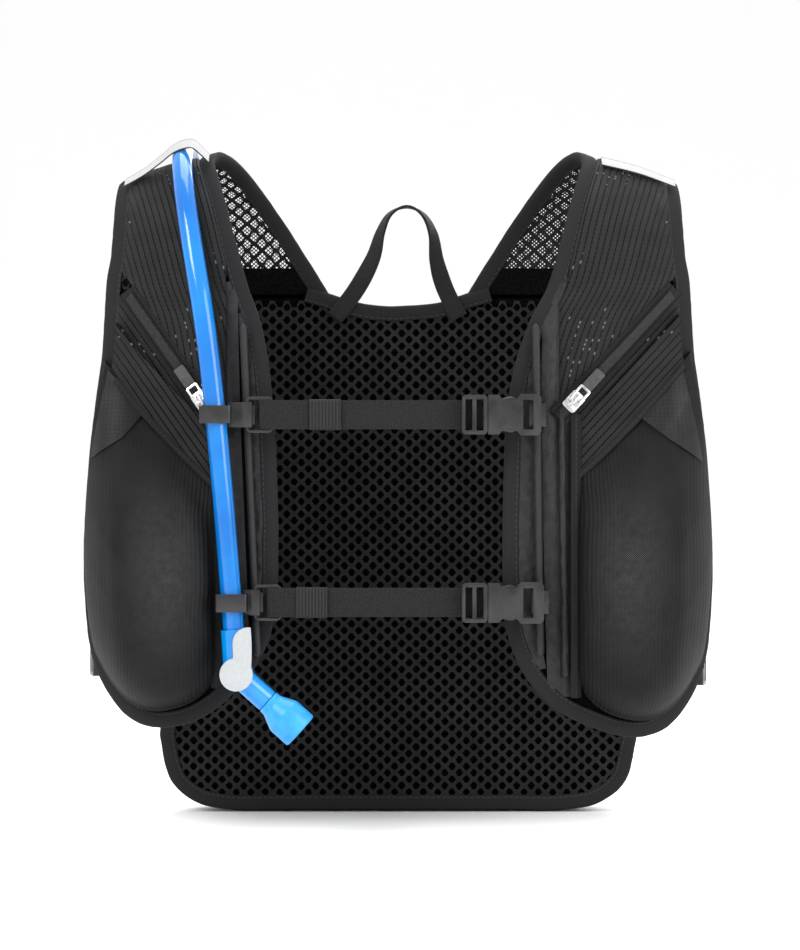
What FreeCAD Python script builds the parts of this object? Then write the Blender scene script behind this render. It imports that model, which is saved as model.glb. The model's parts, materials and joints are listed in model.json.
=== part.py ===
"""Hydration vest: a small worn pack with a filled reservoir, a drinking hose and two chest straps.

Millimetres, +Z up. The wearer would face -Y. The origin is the middle of the vest's box at its base.
A soft back panel carries the pack behind it. Two front panels hang from shoulder yokes that arch over the
shoulders. The chest straps slide up and down on rails along the front panels' inner edges. Names that end in
left are the side at -X, which is the wearer's right, and names that end in right are the side at +X.
"""

import FreeCAD
import Part
import math
import os

V = FreeCAD.Vector
X_AXIS, Y_AXIS, Z_AXIS = V(1, 0, 0), V(0, 1, 0), V(0, 0, 1)
SIDES = {"left": -1, "right": 1}

# ---- driving dimensions -----------------------------------------------------------------------------------
GAP = 0.3            # between sewn layers that only touch
FRONT_Y = -72.0      # outer face of the front panels at their inner edges
BACK_Y = 48.0        # wearer's side of the back panel
BACK_THICK = 5.0     # spacer mesh of the back panel
PANEL_THICK = 3.5    # spacer mesh of the front panels and yokes
WRAP = 46.0          # how far the front panels turn back round the ribs at their outer edges
WRAP_FROM, WRAP_TO = 60.0, 168.0
YOKE_Z = 288.0       # height where the panels end and the shoulder yokes begin
YOKE_RISE_IN, YOKE_RISE_OUT = 73.0, 55.0
YOKE_IN_X, YOKE_OUT_X = 95.0, 160.0
PACK_REAR_Y = 96.0   # rear face of the pack
REAR_POCKET_Y = 106.0
FLASK_FRONT_Y = -106.0
FABRIC = 1.3         # wall of the pockets and the pack
BINDING_WIDE, BINDING_PROUD = 9.5, 1.0
WEB_WIDE, WEB_THICK = 15.0, 1.4
HOSE_D, HOSE_BORE = 10.8, 6.4
RAIL_D, RAIL_Y = 4.0, -76.0
RAIL_X = {"left": (-80.5, -73.0), "right": (71.5, 74.0)}   # at the top and the foot of each rail
RAIL_Z = (92.0, 266.0)
STRAP_Y = -85.0      # middle of the buckles
WEB_Y = STRAP_Y + 2.5   # middle of the webbing, which runs behind the inserts' prongs
STRAPS = {"upper": 218.5, "lower": 121.5}
BUCKLE_X = 46.5      # mouth of the buckle housings

# Outline of a front panel, from its top inner corner round its foot to its top outer corner: (|x|, z).
PANEL_EDGE = [(79, 288), (69.5, 264), (62.5, 228), (59.8, 180), (60, 125), (66, 95), (84, 70), (107, 56),
              (131, 52.5), (150, 64), (164, 92), (168, 141), (164.5, 200), (157.5, 252), (155, 288)]
HANG = {"left": (3.0, 2.5), "right": (-3.0, -2.5)}   # the wearer's right half hangs wider and higher

# Right half of the back panel's outline, from the middle of its foot to the middle of its neck: (x, z).
BACK_FOOT = [(92, 1), (112, 5), (127, 18), (133, 42)]
BACK_SIDE = [(133, 42), (127, 105), (117, 165), (118, 215), (131, 258), (141, 288)]
BACK_NECK = [(35, 288), (22, 283.4), (0, 281.5)]


# ---- small helpers ----------------------------------------------------------------------------------------
def curve(points):
    """One edge through points: a straight one through two, a spline through more."""
    if len(points) == 2:
        return Part.LineSegment(*points).toShape()
    spline = Part.BSplineCurve()
    spline.interpolate(points)
    return spline.toShape()


def face_of(segments, place):
    """A flat face whose rim is made of the segments; place turns a pair of numbers into a point."""
    return Part.Face(Part.Wire([curve([place(*p) for p in s]) for s in segments]))


def prism_y(segments, y0, y1):
    """An outline in XZ, run along Y."""
    return face_of(segments, lambda x, z: V(x, y0, z)).extrude(V(0, y1 - y0, 0))


def prism_z(segments, z0, z1):
    """An outline in XY, run along Z."""
    return face_of(segments, lambda x, y: V(x, y, z0)).extrude(V(0, 0, z1 - z0))


def prism_x(segments, x0, x1):
    """An outline in YZ, run along X."""
    return face_of(segments, lambda y, z: V(x0, y, z)).extrude(V(x1 - x0, 0, 0))


def box(x0, x1, y0, y1, z0, z1):
    return Part.makeBox(x1 - x0, y1 - y0, z1 - z0, V(x0, y0, z0))


def rounded(solid, radius, along):
    """The solid with its edges that run along one axis rounded."""
    edges = []
    for edge in solid.Edges:
        if len(edge.Vertexes) == 2:
            way = (edge.Vertexes[1].Point - edge.Vertexes[0].Point).normalize()
            if abs(way.dot(along)) > 1 - 1e-6:
                edges.append(edge)
    return solid.makeFillet(radius, edges)


def rod(start, end, diameter):
    return Part.makeCylinder(diameter / 2, (end - start).Length, start, end - start)


def polygon(*points):
    """Straight segments round a closed outline."""
    return [[a, b] for a, b in zip(points, points[1:] + points[:1])]


def shifted(points, distance):
    """An open run of points moved sideways, to its left for a positive distance."""
    moved = []
    for i, (a, b) in enumerate(points):
        before, after = points[max(i - 1, 0)], points[min(i + 1, len(points) - 1)]
        da, db = after[0] - before[0], after[1] - before[1]
        size = math.hypot(da, db)
        moved.append((a - db / size * distance, b + da / size * distance))
    return moved


def front_y(x, off=0.0):
    """The front panels' outer face at x, off millimetres further out."""
    turn = max(0.0, (abs(x) - WRAP_FROM) / (WRAP_TO - WRAP_FROM))
    return FRONT_Y + WRAP * turn ** 2 - off


def panel_edge(side, inset=0.0):
    """The front panel's outline on one side, inset towards its middle."""
    wide, high = HANG[side]
    points = [(x + wide * (x < 90), z + high * (z < 150)) for x, z in PANEL_EDGE]
    points = shifted(points, inset)
    points = [points[0][:1] + (YOKE_Z,)] + points[1:-1] + [points[-1][:1] + (YOKE_Z,)]
    return [(SIDES[side] * x, z) for x, z in points]


def layer(side, segments, near, far):
    """A sheet that lies over a front panel, from near to far off its outer face, cut to an outline in XZ."""
    xs = [SIDES[side] * x for x in (50, 62, 85, 110, 135, 160, 176)]
    outer = [(x, front_y(x, far)) for x in xs]
    inner = [(x, front_y(x, near)) for x in reversed(xs)]
    band = [outer, [outer[-1], inner[0]], inner, [inner[-1], outer[0]]]
    return prism_z(band, 30, 300).common(prism_y(segments, -150, 60))


def on_side(side, *points):
    return [(SIDES[side] * x, z) for x, z in points]


def save(name, shape):
    """Writes one node, as one closed solid or a group of them."""
    shape = shape.removeSplitter()
    solids = shape.Solids
    assert solids, name
    for solid in solids:
        assert solid.isValid() and solid.Volume > 1, name
    shape = solids[0] if len(solids) == 1 else Part.makeCompound(solids)
    shape.exportStep(f"parts/{name}.step")


# ---- back panel and pack ----------------------------------------------------------------------------------
def back_outline(inset=0.0):
    """The back panel's whole outline in XZ, its rim inset."""
    foot, side, neck = (shifted(points, inset) for points in (BACK_FOOT, BACK_SIDE, BACK_NECK))
    side = [foot[-1]] + side[1:-1] + [(side[-1][0], YOKE_Z)]
    neck = [(neck[0][0] + inset, YOKE_Z)] + neck[1:-1] + [(0, neck[-1][1])]
    foot = [(foot[0][0], BACK_FOOT[0][1] + inset)] + foot[1:]
    half = [[(0, foot[0][1]), foot[0]], foot, side, [side[-1], neck[0]], neck]
    other = [[(-x, z) for x, z in reversed(points)] for points in reversed(half)]
    return half + other


def back_panel():
    return prism_y(back_outline(1.0), BACK_Y, BACK_Y + BACK_THICK)


def back_binding(panel):
    """Tape folded over the back panel's rim, open where the yokes meet it."""
    outside = prism_y(back_outline(), BACK_Y - BINDING_PROUD, BACK_Y + BACK_THICK)
    inside = prism_y(back_outline(BINDING_WIDE), BACK_Y - 5, BACK_Y + 20)
    return outside.cut(inside).cut(panel).common(box(-200, 200, 0, 100, 0, YOKE_Z))


PACK_FOOT = [(-122, 22), (-112, 6), (-92, 0)]
PACK_SIDE = [(-122, 22), (-124, 60), (-116, 110), (-108, 165), (-110, 215), (-122, 258), (-128, 300)]


def pack_solid(wall):
    """The filled pack as one solid, wall millimetres inside its outer skin."""
    half = [PACK_SIDE[::-1], PACK_FOOT]
    mirrored = [[(-x, z) for x, z in points[::-1]] for points in half[::-1]]
    outline = half + [[(-92, 0), (92, 0)]] + mirrored
    outline += polygon((128, 300), (60, 300), (22, 279), (0, 277), (-22, 279), (-60, 300), (-128, 300))[:-1]
    solid = prism_y(outline, BACK_Y + BACK_THICK + GAP, 140)
    rear = PACK_REAR_Y
    depth = [[(20, -8), (80, -8)], [(80, -8), (90, 1), (95, 11), (rear, 26)], [(rear, 26), (rear, 212)],
             [(rear, 212), (92, 245), (81, 285), (74, 310)], [(74, 310), (20, 310)], [(20, 310), (20, -8)]]
    corner = [(-150, 54), (-120, 72), (-86, 91), (-60, rear + 0.5)]
    other = [(-x, y) for x, y in corner[::-1]]
    plan = [[(-150, 20), corner[0]], corner, [corner[-1], other[0]], other, [other[-1], (150, 20)],
            [(150, 20), (-150, 20)]]
    solid = solid.common(prism_x(depth, -200, 200)).common(prism_z(plan, -10, 320))
    if not wall:
        return solid
    box_ = solid.BoundBox
    shrink = FreeCAD.Matrix()
    shrink.scale((box_.XLength - 2 * wall) / box_.XLength, (box_.YLength - wall) / box_.YLength,
                 (box_.ZLength - 2 * wall) / box_.ZLength)
    small = solid.transformGeometry(shrink)
    small_box = small.BoundBox
    return small.translated(V(box_.Center.x - small_box.Center.x, box_.YMin - small_box.YMin,
                              box_.Center.z - small_box.Center.z))


def back_foam():
    """Stiffening sheet between the back panel and the reservoir."""
    outline = polygon((-80, 20), (80, 20), (70, 200), (60, 262), (-60, 262), (-70, 200))
    return prism_y(outline, BACK_Y + BACK_THICK + 2 * GAP, 56.5)


def rear_pocket():
    """Stretch pocket over the lower half of the pack, open at its top."""
    def bulge(wall, top):
        base, crown, foot = PACK_REAR_Y + GAP, REAR_POCKET_Y - wall, 24 + wall
        half = [(86 - wall, base), (70 - wall, 103 - wall), (40, crown)]
        across = [(-x, y) for x, y in half] + [(0, crown)] + half[::-1]
        plan = [across, [across[-1], across[0]]]
        rise = [(base + 1.2, foot), (103 - wall, foot + 8), (crown, 56), (crown, 110), (crown - 1, top)]
        depth = [[(80, top), (80, foot)], [(80, foot), rise[0]], rise, [rise[-1], (80, top)]]
        return prism_z(plan, 10, 200).common(prism_x(depth, -100, 100))
    return bulge(0, 168).cut(bulge(FABRIC, 182))


REAR_ZIP_Z, REAR_ZIP_HALF = 196.0, 62.0


def zip_tape(length):
    """Tape and coil of a zip, lying in XZ along X, its back on y = 0 and its face towards -Y."""
    tape = box(-length / 2, length / 2, -0.8, 0, -6.5, 6.5)
    coil = box(-length / 2 + 3, length / 2 - 3, -1.8, -0.8, -2.2, 2.2)
    return tape.fuse(coil)


def zip_slider():
    """Slider body, riding over the coil, with the bridge that holds the pull. Its nose points to -X."""
    body = rounded(box(-5.5, 5.5, -4.0, -2.1, -4.0, 4.0), 1.6, Y_AXIS)
    bridge = box(-3.6, 3.6, -6.6, -4.0, -0.9, 0.9).cut(box(-2.2, 2.2, -5.8, -4.0, -2, 2))
    return body.fuse(bridge)


def zip_pull():
    """Wire frame and moulded grip of the pull, lying back along +X from the slider's bridge."""
    frame = rounded(box(-1.4, 9.5, -5.4, -4.4, -3.4, 3.4), 1.2, Y_AXIS).cut(box(0.0, 8.2, -7, -3, -2.1, 2.1))
    grip = rounded(box(9.5, 21.5, -5.7, -4.1, -3.0, 3.0), 0.9, Y_AXIS)
    return frame.fuse(grip)


def at_rear(shape):
    """Turns a piece that faces -Y round to lie on the pack's rear face at the rear zip."""
    turned = shape.copy()
    turned.rotate(V(0, 0, 0), Z_AXIS, 180)
    return turned.translated(V(0, PACK_REAR_Y + GAP, REAR_ZIP_Z))


# ---- reservoir --------------------------------------------------------------------------------------------
CAP_X, CAP_Z = 8.0, 184.0
HOSE_POINTS = [(-92, 73, 52), (-92.5, 76, 128), (-97, 73, 205), (-102.5, 65.5, 262), (-107, 62.5, 304),
               (-111, 43, 342), (-114, 10, 363), (-115.5, -26, 362), (-113, -57, 342), (-107, -76, 307),
               (-98.5, -87.5, 260), (-90.5, -87.5, 184), (-84.8, -87.5, 108)]
RESERVOIR_X = (-78.0, 92.0)


def reservoir():
    """Filled film bladder: a rounded slab that thins towards its rim."""
    x0, x1 = RESERVOIR_X
    body = rounded(box(x0, x1, 58, 90, 12, 262), 30, Y_AXIS)
    near = [(x0, 68), (x0 + 26, 58.2), (0, 58), (x1 - 26, 58.2), (x1, 68)]
    far = [(x1, 80), (x1 - 26, 89.5), (0, 90), (x0 + 26, 89.5), (x0, 80)]
    waist = [near, [near[-1], far[0]], far, [far[-1], near[0]]]
    wearer = [(68, 12), (58.4, 34), (58, 130), (58.4, 225), (66, 262)]
    rear = [(76, 262), (84.5, 240), (85.5, 205), (90, 150), (90, 60), (88, 32), (80, 12)]
    depth = [wearer, [wearer[-1], rear[0]], rear, [rear[-1], wearer[0]]]
    return body.common(prism_z(waist, 0, 270)).common(prism_x(depth, -150, 150)).cut(fill_hole())


def fill_hole():
    return Part.makeCylinder(30.5, 40, V(CAP_X, 80, CAP_Z), Y_AXIS)


def fill_port():
    """Threaded collar welded into the bladder."""
    ring = Part.makeCylinder(30.2, 6.2, V(CAP_X, 80.3, CAP_Z), Y_AXIS)
    return ring.cut(Part.makeCylinder(24.5, 20, V(CAP_X, 75, CAP_Z), Y_AXIS))


def fill_cap():
    """Screw cap with a grip bar across it."""
    disc = Part.makeCylinder(29.5, 3.2, V(CAP_X, 86.8, CAP_Z), Y_AXIS)
    plug = Part.makeCylinder(24.2, 4.6, V(CAP_X, 82.2, CAP_Z), Y_AXIS)
    grip = box(CAP_X - 25, CAP_X + 25, 90, 93.6, CAP_Z - 3, CAP_Z + 3)
    return disc.fuse(plug).fuse(grip)


def outlet_elbow():
    """Quick connector at the bladder's foot: an arm, a barrel and a spigot that the hose pushes on to."""
    start = V(*HOSE_POINTS[0])
    barrel = box(start.x - 7, start.x + 7, 65, 81, 28, 46)
    spigot = rod(V(start.x, start.y, 46), V(start.x, start.y, 51.8), 10)
    arm = box(start.x + 7, RESERVOIR_X[0], 69, 78, 34, 44)
    well = box(start.x - 3.3, start.x + 3.3, 76, 82, 33.7, 40.3)
    return rounded(barrel, 3, Z_AXIS).fuse(spigot).fuse(arm).cut(well)


def elbow_button():
    start = V(*HOSE_POINTS[0])
    return box(start.x - 3, start.x + 3, 78.4, 82.2, 34, 40)


# ---- hose -------------------------------------------------------------------------------------------------
def hose_path():
    """Straight runs joined by tangent arcs, each as large as its runs allow. Returns the wire and radii."""
    points = [V(*p) for p in HOSE_POINTS]
    edges, radii, last = [], [], points[0]
    for before, corner, after in zip(points, points[1:], points[2:]):
        into, out = corner - before, after - corner
        half_turn = into.getAngle(out) / 2
        reach = 0.45 * min(into.Length, out.Length)
        radii.append(reach / math.tan(half_turn))
        a, b = V(into), V(out)
        start, end = corner - a.normalize() * reach, corner + b.normalize() * reach
        to_middle = (start + end) * 0.5 - corner
        middle = corner + to_middle.normalize() * (radii[-1] / math.cos(half_turn) - radii[-1])
        edges += [Part.LineSegment(last, start).toShape(), Part.Arc(start, middle, end).toShape()]
        last = end
    edges.append(Part.LineSegment(last, points[-1]).toShape())
    return Part.Wire(edges), radii


def tube(wire, diameter):
    start = wire.Edges[0].Vertexes[0].Point
    ring = Part.Wire([Part.Circle(start, wire.Edges[0].tangentAt(0), diameter / 2).toShape()])
    return wire.makePipeShell([ring], True, False)


PORT_SPOT = V(-107.2, 62.9, 296)
PORT_WAY = (V(*HOSE_POINTS[4]) - V(*HOSE_POINTS[3])).normalize()
PORT_WALL, FLANGE_WALL = 2.0, 4.0   # how far the sleeve and its flange stand out round the hose


def port_solid(spare):
    """The port's sleeve and flange, filled, or the room they need in the pack's skin."""
    sleeve = Part.makeCylinder(HOSE_D / 2 + PORT_WALL + spare, 14, PORT_SPOT, PORT_WAY)
    foot = PORT_SPOT + PORT_WAY * (6 - spare)
    flange = Part.makeCylinder(HOSE_D / 2 + FLANGE_WALL + spare, 1.6 + 2 * spare, foot, PORT_WAY)
    return sleeve.fuse(flange)


def hose_port(wire):
    """Moulded sleeve that lines the hole where the hose leaves the pack."""
    panel_room = box(-130, -80, 40, BACK_Y + BACK_THICK + GAP, 280, 330)
    return port_solid(0).cut(tube(wire, HOSE_D + 2 * GAP)).cut(panel_room)


def hose_hole():
    """What the pack's skin leaves out for the hose and its port."""
    return port_solid(GAP).fuse(rod(PORT_SPOT - PORT_WAY * 16, PORT_SPOT + PORT_WAY * 44, HOSE_D + 4.6))


# ---- shoulder yokes ---------------------------------------------------------------------------------------
YOKE_STATIONS = (20, 60, 95, 118, 140, 158, 175)
YOKE_PLAN_IN = [(79, -72), (88, -62), (95, -44), (98, -26), (94.5, -8), (85, 14), (72, 34), (56, 48),
                (38, 53)]
YOKE_PLAN_OUT = [(141, 53), (148, 30), (151, 0), (152, -35), (155, -72)]


def yoke_rise(x):
    """How far the arch rises above YOKE_Z at x."""
    past = max(0.0, abs(x) - YOKE_IN_X) / (YOKE_OUT_X - YOKE_IN_X)
    return YOKE_RISE_IN - (YOKE_RISE_IN - YOKE_RISE_OUT) * past


def yoke_point(x, angle, out=0.0):
    """A point of the yoke's arch; angle 0 is at the front panel and 180 at the back panel."""
    a = math.radians(angle)
    front, back = front_y(x), BACK_Y + BACK_THICK
    middle, half = (front + back) / 2, (back - front) / 2
    return V(x, middle - (half + out) * math.cos(a), YOKE_Z + (yoke_rise(x) + out) * math.sin(a))


def yoke_ring(x, out, thick):
    angles = range(0, 181, 15)
    outer = [yoke_point(x, a, out) for a in angles]
    inner = [yoke_point(x, a, out - thick) for a in angles][::-1]
    return Part.Wire([curve(s) for s in (outer, [outer[-1], inner[0]], inner, [inner[-1], outer[0]])])


def yoke_arch(side, out, thick):
    """The arch over one shoulder, wider than its yoke, sloping down outwards."""
    return Part.makeLoft([yoke_ring(SIDES[side] * x, out, thick) for x in YOKE_STATIONS], True, True)


def yoke_plan(side, inset=0.0):
    inner = shifted(YOKE_PLAN_IN, -inset)
    outer = shifted(YOKE_PLAN_OUT, -inset)
    inner = [(inner[0][0], -90)] + inner + [(inner[-1][0], 70)]
    outer = [(outer[0][0], 70)] + outer + [(outer[-1][0], -90)]
    segments = (inner, [inner[-1], outer[0]], outer, [outer[-1], inner[0]])
    return [[(SIDES[side] * x, y) for x, y in s] for s in segments]


def shoulder_yoke(side):
    return yoke_arch(side, 0, PANEL_THICK).common(prism_z(yoke_plan(side, 1.0), YOKE_Z, 400))


LABEL_ANGLE, LABEL_HALF, LABEL_THICK = 68.0, 3.2, 0.8   # place on the arch, half width in degrees, thickness


def label_across(stations):
    """A woven label across the front of a yoke; each station is x and the height over the yoke."""
    wires = []
    for x, lift in stations:
        a, b, c, d = [yoke_point(x, LABEL_ANGLE + turn, lift + thick)
                      for turn, thick in ((-LABEL_HALF, 0), (-LABEL_HALF, LABEL_THICK),
                                          (LABEL_HALF, LABEL_THICK), (LABEL_HALF, 0))]
        wires.append(Part.makePolygon([a, b, c, d, a]))
    return Part.makeLoft(wires, True, True)


# ---- front panels -----------------------------------------------------------------------------------------
CHEST_THICK = 4.0
ZIP_ENDS = {"left": ((90, 209), (143, 283)), "right": ((85, 219), (146, 284))}
ZIP_TRAVEL = {"left": (0.22, 0.88), "right": (0.09, 0.70)}   # shares of the zip
ZIP_RIDE = 5.9       # how far off the panel the slider's own zero lies
POCKET_TOP = ((95, 174), (156, 240))   # diagonal mouth of the flask pocket, (|x|, z) at its two ends


def front_panel(side):
    edge = panel_edge(side, 1.0)
    return layer(side, [edge, [edge[-1], edge[0]]], -PANEL_THICK, 0)


def panel_binding(side, panel, yoke):
    """Tape folded over the rim of the front panel and the yoke."""
    edge, inner = panel_edge(side), panel_edge(side, BINDING_WIDE)
    ring = layer(side, [edge, [edge[-1], edge[0]]], -PANEL_THICK - BINDING_PROUD, BINDING_PROUD)
    ring = ring.cut(prism_y([inner, [inner[-1], inner[0]]], -200, 100))
    arch = yoke_arch(side, BINDING_PROUD, PANEL_THICK + 2 * BINDING_PROUD)
    arch = arch.common(prism_z(yoke_plan(side), YOKE_Z, 400))
    arch = arch.cut(prism_z(yoke_plan(side, BINDING_WIDE), 200, 420))
    return ring.fuse(arch).cut(panel).cut(yoke)


def chest_pocket(side):
    """Ribbed shell of the zipped chest pocket, from the yoke down to its diagonal hem."""
    (x0, z0), (x1, z1) = POCKET_TOP
    corners = ((90, 284), (89, 215), (x0, z0), (x1 - 8, z1 - 8), (x1 - 9, 250), (144.5, 284))
    return layer(side, polygon(*on_side(side, *corners)), GAP, CHEST_THICK)


def zip_spot(side, share, off):
    """A point off millimetres out from the panel, at a share of the way up a chest zip."""
    (x0, z0), (x1, z1) = ZIP_ENDS[side]
    x = x0 + (x1 - x0) * share
    return V(SIDES[side] * x, front_y(x, off), z0 + (z1 - z0) * share)


def chest_zip_tape(side):
    """Tape and coil of a chest zip, bent to the pocket that it is sewn on."""
    (x0, z0), (x1, z1) = ZIP_ENDS[side]
    long = math.hypot(x1 - x0, z1 - z0)
    across_x, across_z = (z1 - z0) / long, -(x1 - x0) / long

    def strip(half, share0, share1):
        corners = []
        for share, way in ((share0, -half), (share0, half), (share1, half), (share1, -half)):
            corners.append((x0 + (x1 - x0) * share + way * across_x, z0 + (z1 - z0) * share + way * across_z))
        return polygon(*on_side(side, *corners))

    tape = layer(side, strip(6.5, 0, 1), CHEST_THICK + GAP, CHEST_THICK + GAP + 0.8)
    coil = layer(side, strip(2.2, 0.04, 0.97), CHEST_THICK + GAP, CHEST_THICK + GAP + 1.2)
    return tape.fuse(coil)


def on_zip(side, shape):
    """Lays a piece made along +X on a chest zip, at the low end of its slider's travel."""
    low, high = (zip_spot(side, share, ZIP_RIDE) for share in ZIP_TRAVEL[side])
    x_way = (high - low).normalize()
    z_way = V(0, -1, 0).cross(x_way).normalize()
    y_way = z_way.cross(x_way)
    matrix = FreeCAD.Matrix(x_way.x, y_way.x, z_way.x, low.x, x_way.y, y_way.y, z_way.y, low.y,
                            x_way.z, y_way.z, z_way.z, low.z, 0, 0, 0, 1)
    placed = shape.copy()
    placed.Placement = FreeCAD.Placement(matrix)
    return placed


def flask_bulge(drop, wall, over):
    """The flask pocket at +X as one solid, wall millimetres inside its mesh and over millimetres past its
    slanting mouth, towards which it fades out."""
    deep = FLASK_FRONT_Y + wall
    inner = 94.8 + wall
    foot = 61.5 + drop + wall
    around = [(inner, -72), (inner + 3.2, -89), (113, deep + 4), (127, deep), (143, deep + 8),
              (157 - wall, -76 + wall), (166 - wall, -50), (168 - wall, -28)]
    plan = [[(inner, 0), around[0]], around, [around[-1], (168 - wall, 0)], [(168 - wall, 0), (inner, 0)]]
    under = [(-66, foot), (-80 + wall, foot + 4), (-96 + wall, foot + 17), (deep, foot + 45), (deep - 1, 160),
             (deep, 250)]
    depth = [[(20, foot), under[0]], under, [under[-1], (20, 250)], [(20, 250), (20, foot)]]
    rim = [(154.5 - wall, 250), (162 - wall, 200), (167 - wall, 141), (162 - wall, 95),
           (147 - wall, 70 + drop), (128, foot + 1), (108, foot + 5), (inner, 84 + drop)]
    outline = [[rim[-1], (inner, 250)], [(inner, 250), rim[0]], rim]
    swell = [(-66 + wall, over), (-84 + wall, -22), (-99 + wall, -52), (deep - 1, -85)]
    fade = [[(30, over), swell[0]], swell, [swell[-1], (deep - 1, -230)], [(deep - 1, -230), (30, -230)],
            [(30, -230), (30, over)]]
    (x0, z0), (x1, z1) = POCKET_TOP
    wedge = prism_x(fade, -100, 300)
    wedge.rotate(V(0, 0, 0), Y_AXIS, -math.degrees(math.atan2(z1 - z0, x1 - x0)))
    solid = prism_z(plan, 40, 260).common(prism_x(depth, -200, 200)).common(prism_y(outline, -150, 50))
    return solid.common(wedge.translated(V(x0, 0, z0)))


def flask_pocket(side):
    """Stretch mesh pocket sewn to the front panel, open along its mouth."""
    drop = HANG[side][1]
    shell = flask_bulge(drop, 0, 0.0).cut(flask_bulge(drop, FABRIC, 12.0))
    if SIDES[side] < 0:
        shell = shell.mirror(V(0, 0, 0), X_AXIS)
    whole_side = polygon(*on_side(side, (55, 40), (174, 40), (174, 290), (55, 290)))
    return shell.cut(layer(side, whole_side, -90, GAP + BINDING_PROUD))


def pocket_flap(side):
    """Ripstop flap inside the outer corner of the pocket's mouth."""
    segments = polygon(*on_side(side, (152, 234.5), (135, 216.5), (155, 200.5), (158.5, 205)))
    return layer(side, segments, BINDING_PROUD + GAP, BINDING_PROUD + GAP + 1.0)


def gusset(side):
    """Vertical folds of lining between the rail and the pockets."""
    folds = {"left": [(84.5, 89, 3.0, 96)], "right": [(78.8, 83.5, 3.0, 96), (85, 88, 2.6, 90)]}
    shapes = []
    for a, b, high, foot in folds[side]:
        strip = polygon(*on_side(side, (a, foot), (b, foot - 3), (b, 262), (a, 272)))
        shapes.append(layer(side, strip, BINDING_PROUD + GAP, high))
    return Part.makeCompound(shapes)


def strap_rail(side):
    """Round piping that the chest straps slide on."""
    top_x, foot_x = RAIL_X[side]
    return rod(V(foot_x, RAIL_Y, RAIL_Z[0]), V(top_x, RAIL_Y, RAIL_Z[1]), RAIL_D)


# ---- side straps ------------------------------------------------------------------------------------------
def band(start, end, width_way, width, thick):
    """A flat strap between two points; width_way is roughly across it."""
    run = end - start
    across = (width_way - run * (width_way.dot(run) / run.dot(run))).normalize() * (width / 2)
    flat = run.cross(across).normalize() * (thick / 2)
    a, b, c, d = start + across + flat, start - across + flat, start - across - flat, start + across - flat
    return Part.Face(Part.makePolygon([a, b, c, d, a])).extrude(run)


LOCK_MIDDLE = V(164.0, -4.0, 84.0)


def side_strap(side, lock):
    """Webbing from the front panel and from the back panel, up to the bars of the lock between them."""
    sign = SIDES[side]
    drop = HANG[side][1]
    middle = V(sign * LOCK_MIDDLE.x, LOCK_MIDDLE.y, LOCK_MIDDLE.z + drop)
    pieces = []
    for start in (V(sign * 150.0, -31.0, 73.0 + drop), V(sign * 134.6, 50.5, 66.0)):
        strap = band(start, middle + (start - middle).normalize() * 3.4, Z_AXIS, 10, WEB_THICK).cut(lock)
        pieces.append(max(strap.Solids, key=lambda solid: solid.Volume))
    return pieces


def ladder_lock(side):
    """Two-slot adjuster with the loop of the strap's tail, on its outer face."""
    sign = SIDES[side]
    frame = rounded(box(-7.5, 7.5, -1.8, 1.8, -7.5, 7.5), 1.5, Y_AXIS)
    frame = frame.cut(box(-5.2, -1.6, -5, 5, -5.4, 5.4)).cut(box(1.6, 5.2, -5, 5, -5.4, 5.4))
    tail = [(-1.8, 7.5), (-3.4, 14), (-3.0, 22), (1, 28)]
    inner = shifted(tail, -1.3)
    lock = frame.fuse(prism_x([tail, [tail[-1], inner[-1]], inner[::-1], [inner[0], tail[0]]], -5, 5))
    lock.rotate(V(0, 0, 0), Z_AXIS, sign * 78)
    return lock.translated(V(sign * LOCK_MIDDLE.x, LOCK_MIDDLE.y, LOCK_MIDDLE.z + HANG[side][1]))


# ---- chest straps -----------------------------------------------------------------------------------------
def rail_x(side, z):
    top_x, foot_x = RAIL_X[side]
    return foot_x + (top_x - foot_x) * (z - RAIL_Z[0]) / (RAIL_Z[1] - RAIL_Z[0])


def rail_channel(x, height):
    """C-shaped channel that grips a rail, in a strap's own height; its back is open."""
    block = box(x - 4.4, x + 4.4, RAIL_Y - 4.6, RAIL_Y + 2.4, -height / 2, height / 2)
    bore = box(x - 3.2, x + 3.2, RAIL_Y - 2.6, RAIL_Y + 5, -height, height)
    return block.cut(bore)


HOSE_X = {"upper": -94.1, "lower": -85.8}
CLIP_HALF, CLIP_WALL, CLIP_FRONT, CLIP_BACK = 8.2, 1.3, -95.0, -79.9
RING_Y, RING_WIRE, RING_LONG, RING_HALF = WEB_Y - 1.7, 1.5, 13.6, 9.4


def hose_clip(level):
    """Moulded tab: a flat loop round the hose, an eye for the ring, and a channel on the rail. At z = 0."""
    hose_x, rail = HOSE_X[level], rail_x("left", STRAPS[level])
    half, room = CLIP_HALF, CLIP_HALF - CLIP_WALL
    loop = rounded(box(hose_x - half, hose_x + half, CLIP_FRONT, CLIP_BACK, -4.6, 4.6), 1.5, Z_AXIS)
    inside = box(hose_x - room, hose_x + room, CLIP_FRONT + CLIP_WALL, CLIP_BACK - CLIP_WALL, -9, 9)
    loop = loop.cut(rounded(inside, 1.2, Z_AXIS))
    tab = box(min(hose_x + 6, rail - 3), rail + 3.0, CLIP_BACK - CLIP_WALL, CLIP_BACK + 1.0, -6.5, 6.5)
    eye = box(rail - 1.8, rail + 3.0, RING_Y - 2.4, CLIP_BACK, -6.5, 6.5)
    eye = eye.cut(box(rail - 0.6, rail + 1.6, RING_Y - 1.1, RING_Y + 1.1, -20, 20))
    return loop.fuse(tab).fuse(rail_channel(rail, 10)).fuse(eye)


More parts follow.
